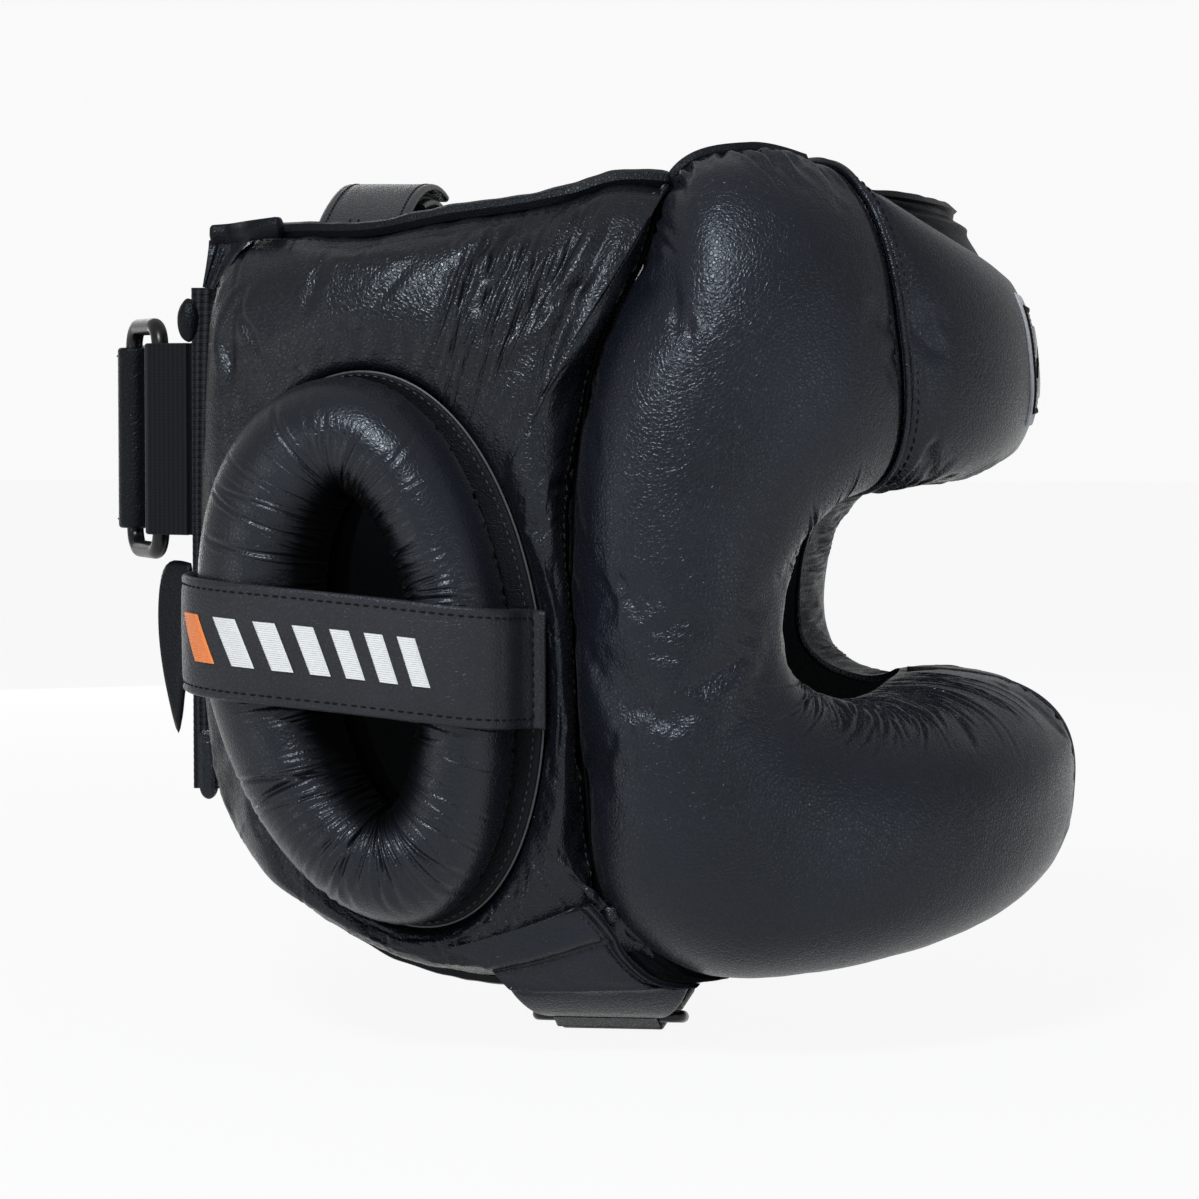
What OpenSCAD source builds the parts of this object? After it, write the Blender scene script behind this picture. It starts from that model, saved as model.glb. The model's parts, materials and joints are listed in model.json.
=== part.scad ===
/* [Head] */
// Length of the head that the guard fits, front to back
head_length = 200; // [190:1:212]
// Width of the head that the guard fits, side to side
head_width = 160; // [150:1:170]
// Distance of the head's centre behind the guard's own centre
head_back = 7.9; // [5:0.1:12]
// How far the head space draws in at the crown and at the neck
head_draw_in = 9; // [4:1:12]

/* [Heights] */
// Height of the lower edge of the forehead pad
brow_z = 158; // [154:1:163]
// Height of the upper edge of the face bar at its middle
opening_z = 104; // [100:1:109]
// Height of the lower edge of the face bar at its middle
bar_bottom_z = 34; // [30:1:40]
// Height of the lower edge of the cheeks
cheek_bottom_z = 22; // [20:1:26]
// Height of the rim above the temples
temple_top_z = 253; // [249:1:258]
// Height of the rim at the middle of the forehead
forehead_top_z = 231; // [226:1:236]
// Height of the rim along the rear of the side panels
rear_top_z = 233; // [229:1:238]
// Height of the lower edge at the nape
nape_z = 70; // [66:1:74]

/* [Padding] */
// Thickness of the face bar at its middle
bar_thick = 53; // [46:1:56]
// Thickness of the cheek rolls
cheek_thick = 34; // [28:1:38]
// Thickness of the forehead pad at its middle
forehead_thick = 41; // [34:1:44]
// Thickness of both pads at the temple seams
temple_thick = 33; // [28:1:36]
// Thickness of the side panels
side_thick = 22; // [18:1:25]
// Thickness of the side panels under the ear rings
side_floor = 9; // [7:1:11]
// Roundness of a pad's section: 2 is an ellipse, more is boxier
pad_round = 2.8; // [2.3:0.1:3.4]

/* [Leather] */
// Thickness of the outer leather
cover_t = 1.8; // [1.2:0.1:2.4]
// Thickness of the inner lining
lining_t = 1.4; // [1:0.1:1.8]
// Width of the welt in each seam
welt_w = 2.2; // [1.6:0.1:2.6]
// Height of a welt above the leather beside it
welt_proud = 1.2; // [0.6:0.1:1.8]
// Width of the rim binding beyond the panel
binding_w = 3; // [2:0.5:4]
// Width of the forehead badge
badge_w = 44; // [36:1:60]
// Height of the forehead badge
badge_h = 40; // [30:1:44]
// Thickness of the forehead badge
badge_t = 1.2; // [0.8:0.1:1.6]

/* [Ear rings] */
// Height of the middle of the ear ring
ear_z = 115; // [112:1:118]
// Place of the ear round the head, from straight ahead
ear_angle = 113.5; // [112.5:0.5:114.5]
// Outer width of the ear ring
ear_ring_w = 105; // [100:1:107]
// Outer height of the ear ring
ear_ring_h = 154; // [148:1:156]
// Width of the roll of the ear ring
ear_roll_w = 34; // [30:1:35]
// Height of the ear ring above the head
ear_rise = 41; // [38:1:43]
// Rearward lean of the ear ring
ear_lean = 7; // [3:1:9]
// Height of the leather band across the ear ring
ear_band_w = 33; // [26:1:36]
// Downward slope of the band towards the front
ear_band_slope = 5; // [2:1:8]

/* [Rear closure] */
// Height of the rear strap's middle
closure_z = 173; // [171:1:177]
// Width of the rear strap
strap_w = 56; // [48:1:58]
// Thickness of the rear strap
strap_t = 2.6; // [2:0.1:3]
// Diameter of the rear ring's bar
ring_bar_d = 5; // [4:0.2:5.4]
// Outer height of the rear ring
ring_h = 71; // [70:1:76]
// Distance between the middles of the rear ring's two long bars
ring_reach = 28; // [26:1:31]
// Clearance between a ring's bar and the loop round it
ring_clearance = 0.4; // [0.3:0.05:0.6]
// Length of the strap's folded end
tail_length = 46; // [38:1:50]
// Height of the rear webbing
webbing_h = 146; // [138:1:150]
// Thickness of webbing and elastic
webbing_t = 2.2; // [1.6:0.1:2.6]
// Length of the hanging leaf tab
leaf_h = 50; // [42:1:54]
// Width of the hanging leaf tab
leaf_w = 14; // [12:1:18]

/* [Crown and chin] */
// Width of the crown strap
crown_w = 26; // [20:1:28]
// Distance of the crown strap behind the middle
crown_back = 60; // [56:1:64]
// Height of the top of the crown strap
crown_z = 249; // [247:1:254]
// Width of the chin strap
chin_w = 34; // [28:1:36]
// Place of the chin strap's middle, forward of the middle
chin_x = 10; // [8:1:12]
// Thickness of the crown and chin straps
thin_strap_t = 2.2; // [1.8:0.1:2.6]
// Diameter of the chin ring's bar
chin_bar_d = 3.6; // [3:0.2:4]

/* [Hidden] */

$fn = 48;
leather = "#24272c";
leather_dark = "#1b1d21";
foam = "#c9c4b8";
lining = "#2e3136";
plastic = "#0c0d0f";
webbing = "#17181b";

half_length = head_length / 2;
half_width = head_width / 2;
plan_power = 2.5;
draw_in_z = 128;
draw_in_reach = 115;
seat_gap = 0.3;
seam_gap = 0.3;
foam_gap = 1.3;

// Where the head's surface lies, at an angle from straight ahead and a height,
// and a point that far out from it
function plan_r(a) =
    pow(pow(abs(cos(a)) / half_length, plan_power) + pow(abs(sin(a)) / half_width, plan_power),
        -1 / plan_power);
function way_out(a) =
    let (x = plan_r(a) * cos(a), y = plan_r(a) * sin(a),
         nx = sign(x) * pow(abs(x), plan_power - 1) / pow(half_length, plan_power),
         ny = sign(y) * pow(abs(y), plan_power - 1) / pow(half_width, plan_power))
    [nx, ny] / norm([nx, ny]);
function draw_in(z) = -head_draw_in * pow(min(1, abs(z - draw_in_z) / draw_in_reach), 2.4);
function skin(a, z, out) =
    let (n = way_out(a), d = out + draw_in(z))
    [-head_back + plan_r(a) * cos(a) + d * n[0], plan_r(a) * sin(a) + d * n[1], z];

// A smooth curve through the rows of a list
function between(a, b, c, d, t) =
    0.5 * (2 * b + (c - a) * t + (2 * a - 5 * b + 4 * c - d) * t * t
        + (3 * b - a - 3 * c + d) * t * t * t);
function along(list, s) =
    let (n = len(list) - 1, i = max(0, min(floor(s), n - 1)))
    between(list[max(i - 1, 0)], list[i], list[i + 1], list[min(i + 2, n)], s - i);
function mix(a, b, t) = a + (b - a) * t;
function steps(n) = [for (i = [0:n]) i / n];

// The half-round section of a pad: how far across, and how high
function lobe(n, power) = [for (i = [0:n])
    let (c = cos(180 * i / n), s = sin(180 * i / n))
    [0.5 - 0.5 * sign(c) * pow(abs(c), 2 / power), pow(abs(s), 2 / power)]];

// A closed body between an upper and a lower grid of points
module slab(top, bottom, closed = false) {
    rows = len(top);
    cols = len(top[0]);
    last = closed ? rows - 1 : rows - 2;
    flat = [for (grid = [top, bottom]) for (row = grid) for (p = row) p];
    under = rows * cols;
    faces = concat(
        [for (j = [0:last]) for (i = [0:cols - 2])
            let (a = j * cols + i, b = ((j + 1) % rows) * cols + i)
            each [[a, b, b + 1], [a, b + 1, a + 1]]],
        [for (j = [0:last]) for (i = [0:cols - 2])
            let (a = under + j * cols + i, b = under + ((j + 1) % rows) * cols + i)
            each [[a, b + 1, b], [a, a + 1, b + 1]]],
        [for (j = [0:last])
            let (a = j * cols, b = ((j + 1) % rows) * cols)
            each [[a, under + a, under + b], [a, under + b, b]]],
        [for (j = [0:last])
            let (a = j * cols + cols - 1, b = ((j + 1) % rows) * cols + cols - 1)
            each [[a, b, under + b], [a, under + b, under + a]]],
        closed ? [] : [for (i = [0:cols - 2])
            each [[i, i + 1, under + i + 1], [i, under + i + 1, under + i]]],
        closed ? [] : [for (i = [0:cols - 2])
            let (a = (rows - 1) * cols + i)
            each [[a, under + a, under + a + 1], [a, under + a + 1, a + 1]]]);
    polyhedron(flat, faces, convexity = 10);
}

module on_side(side) {
    if (side == "right") mirror([0, 1, 0]) children();
    else children();
}

// A pad's station: inner edge angle and height, outer edge angle and height, thickness
function station_width(st) = norm(skin(st[0], st[1], 0) - skin(st[2], st[3], 0));
function on_station(st, v, out) = skin(mix(st[0], st[2], v), mix(st[1], st[3], v), out);

// The three layers of a pad that is laid along its stations
module pad_cover(stations, cols, edge_gap = 0) {
    outline = lobe(cols, pad_round);
    slab([for (st = stations)
            let (g = edge_gap / station_width(st))
            [for (q = outline) on_station(st, q[0] * (1 - g), st[4] * q[1])]],
         [for (st = stations)
            let (g = edge_gap / station_width(st), e = cover_t / station_width(st))
            [for (q = outline)
                on_station(st, e + q[0] * (1 - g - 2 * e), (st[4] - cover_t) * q[1])]]);
}
module pad_foam(stations, cols, edge_gap = 0) {
    outline = [for (q = lobe(cols + 2, pad_round)) if (q[1] > 0.01) q];
    inset = cover_t + seat_gap;
    slab([for (st = stations)
            let (g = edge_gap / station_width(st), e = (inset + 2) / station_width(st))
            [for (q = outline)
                on_station(st, e + q[0] * (1 - g - 2 * e), (st[4] - inset - 1.5) * q[1])]],
         [for (st = stations)
            let (g = edge_gap / station_width(st), e = (inset + 2) / station_width(st))
            [for (q = outline)
                on_station(st, e + q[0] * (1 - g - 2 * e), lining_t + foam_gap)]]);
}
module pad_lining(stations, edge_gap = 0) {
    inset = cover_t + seat_gap + 0.4;
    cols = [for (q = lobe(6, pad_round)) q[0]];
    slab([for (st = stations)
            let (g = edge_gap / station_width(st), e = inset / station_width(st))
            [for (v = cols) on_station(st, e + v * (1 - g - 2 * e), lining_t)]],
         [for (st = stations)
            let (g = edge_gap / station_width(st), e = inset / station_width(st))
            [for (v = cols) on_station(st, e + v * (1 - g - 2 * e), 0)]]);
}

// Face bar and cheek roll, from the temple seam down the cheek to the middle of the bar
seam_room = welt_w / 2 + seam_gap;
bar_stations = [
    [32.6, brow_z, 35.6, temple_top_z - 1, temple_thick],
    [37.9, brow_z - 3, 47.7, temple_top_z + 2, mix(temple_thick, cheek_thick, 0.5) + 3],
    [42.6, brow_z - 12, 60.9, temple_top_z - 4, cheek_thick + 2],
    [45.1, mix(opening_z, brow_z, 0.58), 68.2, 224, cheek_thick],
    [45.9, mix(opening_z, brow_z, 0.4), 77.1, 196, cheek_thick - 1],
    [45.9, mix(opening_z, brow_z, 0.25), 80.6, 158, cheek_thick - 1],
    [45.1, opening_z + 6, 80.6, 120, cheek_thick - 1],
    [42.6, opening_z + 1, 79, 80, cheek_thick],
    [37.9, opening_z - 3, 75, cheek_bottom_z + 21, mix(cheek_thick, bar_thick, 0.16)],
    [30.2, opening_z - 5, 59.8, cheek_bottom_z + 2, mix(cheek_thick, bar_thick, 0.42)],
    [22.7, opening_z - 4, 42.6, cheek_bottom_z, mix(cheek_thick, bar_thick, 0.68)],
    [13.1, opening_z - 1, 23.5, mix(cheek_bottom_z, bar_bottom_z, 0.42),
        mix(cheek_thick, bar_thick, 0.9)],
    [0.9, opening_z, 0.9, bar_bottom_z, bar_thick]
];
bar_end = len(bar_stations) - 1;
function bar_rows(n) = [for (k = steps(n)) along(bar_stations, k * bar_end)];

module face_bar_cover(side) {
    color(leather) on_side(side) pad_cover(bar_rows(22), 8, seam_room);
}
module face_bar_foam(side) {
    color(foam) on_side(side) pad_foam(bar_rows(22), 4, seam_room);
}
module face_bar_lining(side) {
    color(lining) on_side(side) pad_lining(bar_rows(22), seam_room);
}

// Forehead pad between the two temple seams
forehead_end = bar_stations[0][0] - 1.6;
forehead_top_end = bar_stations[0][2] - 1.6;
function forehead_station(k) =
    let (f = abs(k))
    [forehead_end * k, brow_z + 2 * (1 - f * f),
     forehead_top_end * k, mix(forehead_top_z, temple_top_z - 1, pow(f, 1.7)),
     mix(forehead_thick, temple_thick, pow(f, 4))];
function forehead_rows(n) = [for (k = steps(n)) forehead_station(1 - 2 * k)];

module forehead_cover() {
    color(leather) pad_cover(forehead_rows(14), 8);
}
module forehead_foam() {
    color(foam) pad_foam(forehead_rows(14), 4);
}
module forehead_lining() {
    color(lining) pad_lining(forehead_rows(14));
}

// Plain sewn patch on the middle of the forehead
module forehead_badge() {
    half = badge_w / 2 / (plan_r(0) + forehead_thick) * 180 / PI;
    turns = [for (k = steps(6)) mix(half, -half, k)];
    band = [for (k = steps(4)) mix(0.5 - badge_h / 150, 0.5 + badge_h / 150, k)];
    rise = function (v) forehead_thick * pow(1 - pow(abs(2 * v - 1), pad_round), 1 / pad_round);
    color("#8f9196")
        slab([for (a = turns) let (st = forehead_station(a / forehead_end))
                [for (v = band) on_station(st, v, rise(v) + 0.3 + badge_t)]],
             [for (a = turns) let (st = forehead_station(a / forehead_end))
                [for (v = band) on_station(st, v, rise(v) + 0.3)]]);
}

// A raised welt across a station, following the pad's section
module section_welt(st, half_angle) {
    outline = lobe(10, pad_round);
    depth = 3;
    for_width = [-half_angle, half_angle];
    slab([for (q = outline) [for (a = for_width)
            on_station([st[0] + a, st[1], st[2] + a, st[3]], q[0],
                st[4] * q[1] + welt_proud * q[1] + 0.4)]],
         [for (q = outline) [for (a = for_width)
            on_station([st[0] + a, st[1], st[2] + a, st[3]], 0.06 + 0.88 * q[0],
                (st[4] - depth) * q[1])]]);
}
temple_seam = [bar_stations[0][0] - 0.8, brow_z, bar_stations[0][2] - 0.8, temple_top_z - 1,
    temple_thick];
module temple_welt(side) {
    color(leather_dark) on_side(side) section_welt(temple_seam, 0.55);
}
module face_bar_welt() {
    color(leather_dark) section_welt([0, opening_z, 0, bar_bottom_z, bar_thick], 0.6);
}

// Side panel round the ear, with its outline run from the crown end of the cheek seam
seam_from = 2.15;
seam_to = 8.75;
seam_steps = 18;
function seam_point(s) = let (st = along(bar_stations, s)) [st[2], st[3]];
panel_bottom = [
    seam_point(seam_to), [77, cheek_bottom_z + 2], [88, cheek_bottom_z],
    [101, cheek_bottom_z], [116, cheek_bottom_z + 5], [131, cheek_bottom_z + 17],
    [143, mix(cheek_bottom_z, nape_z, 0.6)], [150, nape_z - 6], [152.6, nape_z + 6]
];
panel_rear = [[152.6, nape_z + 6], [153.6, 118], [153.6, 168], [152.8, rear_top_z - 10]];
panel_top = [
    [152.8, rear_top_z - 10], [150, rear_top_z - 1], [137, rear_top_z], [122, rear_top_z],
    [107, rear_top_z + 4], [87, rear_top_z + 8], [73, mix(rear_top_z, temple_top_z, 0.68)],
    seam_point(seam_from)
];
function part_of(curve, n) =
    [for (k = [0:n - 1]) along(curve, k / n * (len(curve) - 1))];
panel_outline = concat(
    [for (k = [0:seam_steps - 1]) seam_point(mix(seam_from, seam_to, k / seam_steps))],
    part_of(panel_bottom, 10), part_of(panel_rear, 5), part_of(panel_top, 10));

// The ear ring's own plane, wrapped round the head: across and up, in millimetres
ear_roll_h = ear_rise - side_floor - seat_gap;
ear_mid_out = side_floor + seat_gap + ear_roll_h / 2;
ear_mm_per_degree = (plan_r(ear_angle) + ear_mid_out) * PI / 180;
function ear_skin(x, z, out) = skin(ear_angle + (x + z * tan(ear_lean)) / ear_mm_per_degree,
    ear_z + z, out);
function ear_flat(a, k) =
    let (hw = ear_ring_w / 2 - ear_roll_w * (1 - k), hh = ear_ring_h / 2 - ear_roll_w * (1 - k))
    [hw * cos(a), hh * sin(a)];
function to_ear_flat(p) =
    [(p[0] - ear_angle) * ear_mm_per_degree - (p[1] - ear_z) * tan(ear_lean), p[1] - ear_z];
panel_flat = [for (p = panel_outline) to_ear_flat(p)];
// Direction of each outline point as an angle of the ear's ellipse
function ear_turn(p) = atan2(p[1] / (ear_ring_h / 2), p[0] / (ear_ring_w / 2));

// The way in from the outline at one of its points, longer where it turns a corner
function unit(v) = v / norm(v);
function left_of(v) = [-v[1], v[0]];
function inward(i) =
    let (n = len(panel_flat), p = panel_flat[i],
         before = left_of(unit(p - panel_flat[(i + n - 1) % n])),
         after = left_of(unit(panel_flat[(i + 1) % n] - p)),
         way = unit(before + after))
    way / max(0.6, way * after);
panel_points = [for (i = [0:len(panel_flat) - 1]) i];

// One row of a side panel from the ear hole to the outline
function panel_row(i, layer) =
    let (p = panel_flat[i], a = ear_turn(p), step = ear_flat(a, 1.07),
         drop = layer == 0 ? 0 : cover_t,
         hole = ear_flat(a, 0.12), hole_in = hole + drop * unit(hole),
         rim_in = p + (seam_room + drop) * inward(i))
    [
        ear_skin(hole_in[0], hole_in[1], 0),
        ear_skin(hole_in[0], hole_in[1], side_floor - drop),
        let (q = ear_flat(a, 0.9)) ear_skin(q[0], q[1], side_floor - drop),
        ear_skin(step[0], step[1], 0.86 * side_thick - drop),
        let (q = mix(step, rim_in, 0.34)) ear_skin(q[0], q[1], side_thick - drop),
        let (q = mix(step, rim_in, 0.72)) ear_skin(q[0], q[1], 0.9 * side_thick - drop),
        let (q = mix(step, rim_in, 0.94)) ear_skin(q[0], q[1], 0.52 * side_thick - drop),
        ear_skin(rim_in[0], rim_in[1], 0)
    ];
module side_cover(side) {
    color(leather) on_side(side)
        slab([for (i = panel_points) panel_row(i, 0)],
             [for (i = panel_points) panel_row(i, 1)], closed = true);
}
function foam_row(i, out) =
    let (p = panel_flat[i], a = ear_turn(p), rim = p + (seam_room + 4) * inward(i),
         step = ear_flat(a, 1.1), hole = ear_flat(a, 0.12), under = lining_t + foam_gap,
         hole_in = hole + (cover_t + 1) * unit(hole),
         low = side_floor - cover_t - 0.8, high = side_thick - cover_t - 2)
    [
        ear_skin(hole_in[0], hole_in[1], out ? low : under),
        let (q = ear_flat(a, 0.9)) ear_skin(q[0], q[1], out ? low : under),
        ear_skin(step[0], step[1], out ? 0.78 * high : under),
        let (q = mix(step, rim, 0.4)) ear_skin(q[0], q[1], out ? high : under),
        let (q = mix(step, rim, 0.72)) ear_skin(q[0], q[1], out ? 0.86 * high : under),
        let (q = mix(step, rim, 0.94)) ear_skin(q[0], q[1], out ? 0.3 * high : under)
    ];
module side_foam(side) {
    color(foam) on_side(side)
        slab([for (i = panel_points) foam_row(i, true)],
             [for (i = panel_points) foam_row(i, false)], closed = true);
}
function lining_row(i, out) =
    let (p = panel_flat[i], a = ear_turn(p), rim = p + (seam_room + cover_t + 1) * inward(i),
         hole = ear_flat(a, 0.12), hole_in = hole + (cover_t + 1) * unit(hole))
    [for (k = steps(5)) let (q = mix(hole_in, rim, k)) ear_skin(q[0], q[1], out ? lining_t : 0)];
module side_lining(side) {
    color(lining) on_side(side)
        slab([for (i = panel_points) lining_row(i, true)],
             [for (i = panel_points) lining_row(i, false)], closed = true);
}

// Padded ring round the ear, open towards the panel that it is sewn to
ear_ring_turns = [for (k = [0:23]) 360 * k / 24];
roll_from = -56;
function roll_point(a, b, shrink) =
    let (mid_w = ear_ring_w / 2 - ear_roll_w / 2, mid_h = ear_ring_h / 2 - ear_roll_w / 2,
         centre = [mid_w * cos(a), mid_h * sin(a)],
         away = [cos(a) / mid_w, sin(a) / mid_h] / norm([cos(a) / mid_w, sin(a) / mid_h]),
         r = ear_roll_w / 2 - shrink,
         rise = (ear_roll_h - 2 * shrink) / (1 + sin(-roll_from)),
         q = centre + r * cos(b) * away)
    ear_skin(q[0], q[1], side_floor + seat_gap + shrink + rise * (sin(b) + sin(-roll_from)));
roll_turns = [for (k = steps(8)) mix(roll_from, 180 - roll_from, k)];
module ear_ring_cover(side) {
    color(leather) on_side(side)
        slab([for (a = ear_ring_turns) [for (b = roll_turns) roll_point(a, b, 0)]],
             [for (a = ear_ring_turns) [for (b = roll_turns) roll_point(a, b, cover_t)]],
             closed = true);
}
module ear_ring_foam(side) {
    inset = cover_t + 1.2;
    color(foam) on_side(side)
        slab([for (a = ear_ring_turns) [for (k = steps(5))
                roll_point(a, mix(roll_from, 180 - roll_from, k), inset)]],
             [for (a = ear_ring_turns) [for (k = steps(5))
                mix(roll_point(a, roll_from, inset), roll_point(a, 180 - roll_from, inset), k)]],
             closed = true);
}

// Leather band over the ear ring, with its ends sewn down beside it
ear_half = ear_ring_w / 2;
band_path = [
    [-ear_half - 4.5, side_thick + 1.2], [-ear_half - 1.5, ear_mid_out + 2],
    [-ear_half + 4, ear_rise - 5], [-ear_half + ear_roll_w / 2, ear_rise + 0.9],
    [0, ear_rise - 1],
    [ear_half - ear_roll_w / 2, ear_rise + 0.9], [ear_half - 4, ear_rise - 5],
    [ear_half + 1.5, ear_mid_out + 2], [ear_half + 4.5, side_thick + 1.2]
];
function band_row(s, v, lift) =
    let (p = along(band_path, s), n = along(band_path, min(s + 0.05, len(band_path) - 1)),
         m = along(band_path, max(s - 0.05, 0)), way = (n - m) / norm(n - m),
         q = p + lift * [-way[1], way[0]])
    ear_skin(q[0] - (v - 0.5) * ear_band_w * tan(ear_lean),
        (v - 0.5) * ear_band_w + p[0] * tan(ear_band_slope), q[1]);
module ear_band(side) {
    rows = [for (k = steps(20)) k * (len(band_path) - 1)];
    color(leather) on_side(side)
        slab([for (s = rows) [for (v = [0, 0.5, 1]) band_row(s, v, 0.5 + thin_strap_t)]],
             [for (s = rows) [for (v = [0, 0.5, 1]) band_row(s, v, 0.5)]]);
}

// Welt in the valley between the cheek roll and the side panel
module cheek_welt(side) {
    rows = [for (k = steps(seam_steps)) along(bar_stations, mix(seam_from, seam_to, k))];
    color(leather_dark) on_side(side)
        slab([for (st = rows)
                let (g = welt_w / 2 / station_width(st)) [for (v = [1 - g, 1 - g / 3, 1 + g / 3])
                    on_station(st, v, lining_t + welt_proud + (v == 1 - g / 3 ? 0.8 : 0))]],
             [for (st = rows)
                let (g = welt_w / 2 / station_width(st)) [for (v = [1 - g, 1 - g / 3, 1 + g / 3])
                    on_station(st, v, 0)]]);
}

// Folded leather binding beyond the panel's rim
function rim_out(p, d) = p + d * p / norm(p);
module rim_binding(curve, from, to, n) {
    edge = [for (k = steps(n)) to_ear_flat(along(curve, mix(from, to, k)))];
    reach = [-seam_room + seam_gap, binding_w / 2, binding_w];
    high = [lining_t + 2.4, lining_t + 4, lining_t + 1.2];
    slab([for (p = edge) [for (i = [0:2]) let (q = rim_out(p, reach[i]))
            ear_skin(q[0], q[1], high[i])]],
         [for (p = edge) [for (i = [0:2]) let (q = rim_out(p, reach[i]))
            ear_skin(q[0], q[1], 0)]]);
}
module top_binding(side) {
    color(leather_dark) on_side(side) rim_binding(panel_top, 0.9, len(panel_top) - 1.15, 12);
}
module neck_binding(side) {
    color(leather_dark) on_side(side) rim_binding(panel_bottom, 0.3, len(panel_bottom) - 1.6, 12);
}

// Rear closure, laid out in plan: the webbing's free edge, then the ring's two bars
webbing_edge = [-112, 47];
ring_hinge = [-123, 39.5];
ring_turn = atan2(25.5, 14.2);
ring_far = ring_hinge + ring_reach * [-cos(ring_turn), -sin(ring_turn)];
webbing_low = closure_z - 102;

module rear_webbing(side) {
    rows = [for (k = steps(9)) webbing_low + k * webbing_h];
    rear_rim = [for (p = panel_rear) [p[1], p[0]]];
    beside = 0.5 - seam_room;
    color(webbing) on_side(side)
        slab([for (z = rows)
                let (edge = lookup(z, rear_rim) + beside / ear_mm_per_degree,
                    a = skin(edge, z, webbing_t), m = [webbing_edge[0] - 0.4, webbing_edge[1] + 1])
                [a, [mix(a[0], m[0], 0.5) - 1, mix(a[1], m[1], 0.5) + 1, z], [m[0], m[1], z]]],
             [for (z = rows)
                let (edge = lookup(z, rear_rim) + beside / ear_mm_per_degree,
                    a = skin(edge, z, 0), m = [webbing_edge[0] + 0.6, webbing_edge[1] - 1])
                [a, [mix(a[0], m[0], 0.5) - 1, mix(a[1], m[1], 0.5) + 1, z], [m[0], m[1], z]]]);
}

// A flat strip in plan along a list of points
module plan_strip(points, thick) {
    n = len(points) - 1;
    ways = [for (i = [0:n])
        let (w = points[min(i + 1, n)] - points[max(i - 1, 0)]) w / norm(w)];
    left = [for (i = [0:n]) points[i] + thick / 2 * [-ways[i][1], ways[i][0]]];
    right = [for (i = [n:-1:0]) points[i] - thick / 2 * [-ways[i][1], ways[i][0]]];
    polygon(concat(left, right));
}
bar_loop_r = ring_bar_d / 2 + ring_clearance;
loop_outer_r = bar_loop_r + strap_t * 0.8;

module ring_keeper() {
    toward = ring_hinge - webbing_edge;
    far = norm(toward);
    color(webbing) mirror([0, 1, 0])
        translate([0, 0, closure_z - strap_w / 2])
            difference() {
                union() {
                    translate(ring_hinge) cylinder(h = strap_w, r = loop_outer_r);
                    linear_extrude(strap_w)
                        plan_strip([webbing_edge + toward / far * 2 * seat_gap,
                            ring_hinge - toward / far * (bar_loop_r + 0.6)], strap_t);
                }
                translate([ring_hinge[0], ring_hinge[1], -1])
                    cylinder(h = strap_w + 2, r = bar_loop_r);
            }
}

// A round-bar ring standing in a plane, its first bar on the origin
module bar_ring(reach, tall, bar_d, corner) {
    run = tall - bar_d - 2 * corner;
    for (x = [0, reach])
        translate([x, 0, -run / 2]) cylinder(h = run, d = bar_d);
    for (z = [-1, 1])
        translate([corner, 0, z * (run / 2 + corner)])
            rotate([0, 90, 0]) cylinder(h = reach - 2 * corner, d = bar_d);
    for (x = [0, 1])
        for (z = [0, 1])
            translate([x == 0 ? corner : reach - corner, 0, (z == 0 ? -1 : 1) * run / 2])
                rotate([90, 0, 0]) rotate([0, 0, (x == 0 ? 90 : 0) + (z == 0 ? (x == 0 ? 90 : 270) : 0)])
                    rotate_extrude(angle = 90)
                        translate([corner, 0]) circle(d = bar_d);
}
module rear_ring() {
    color(plastic) mirror([0, 1, 0])
        translate([ring_hinge[0], ring_hinge[1], closure_z])
            rotate([0, 0, ring_turn + 180]) bar_ring(ring_reach, ring_h, ring_bar_d, 6);
}

// The strap's run behind the head, from the far bar to the other panel
strap_start = ring_far + [-0.6, -loop_outer_r - 0.7];
strap_run = [
    strap_start, [strap_start[0] - 1.1, 2], [-139, -14], [-132, -29],
    [webbing_edge[0] - 8, -webbing_edge[1] + 4], [webbing_edge[0] - 0.8, -webbing_edge[1] - 2.3]
];
function run_at(s) = along(strap_run, s);
strap_end = len(strap_run) - 1;
module rear_strap() {
    color(leather) mirror([0, 1, 0])
        translate([0, 0, closure_z - strap_w / 2]) linear_extrude(strap_w)
            plan_strip([for (k = steps(20)) run_at(k * strap_end)], strap_t);
}

// The strap's end, folded back round the far bar
tail_t = strap_t * 0.8;
patch_t = 0.8;
patch_gap = 0.3;
tail_lift = strap_t / 2 + tail_t / 2 + 2 * patch_t + 3 * patch_gap;
function run_way(s) = let (w = run_at(s + 0.05) - run_at(s - 0.05)) w / norm(w);
function run_beside(s, d) = run_at(s) + d * [run_way(s)[1], -run_way(s)[0]];
tail_steps = tail_length / 20;
module rear_strap_tail() {
    fold = ring_far + [-loop_outer_r + tail_t / 2, 0];
    color(leather) mirror([0, 1, 0])
        translate([0, 0, closure_z - strap_w / 2 + 1]) difference() {
            union() {
                translate(ring_far) cylinder(h = strap_w - 2, r = loop_outer_r);
                linear_extrude(strap_w - 2)
                    plan_strip(concat([fold], [for (k = steps(12))
                        run_beside(0.25 + k * tail_steps, tail_lift)]), tail_t);
            }
            translate([ring_far[0], ring_far[1], -1]) cylinder(h = strap_w, r = bar_loop_r);
        }
}
module rear_loop_patch() {
    color(webbing) mirror([0, 1, 0])
        translate([0, 0, closure_z - strap_w / 2 + 5]) linear_extrude(strap_w - 10)
            plan_strip([for (k = steps(10)) run_beside(0.9 + k * 1.7,
                strap_t / 2 + patch_t / 2 + 0.2)], patch_t);
}
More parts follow.
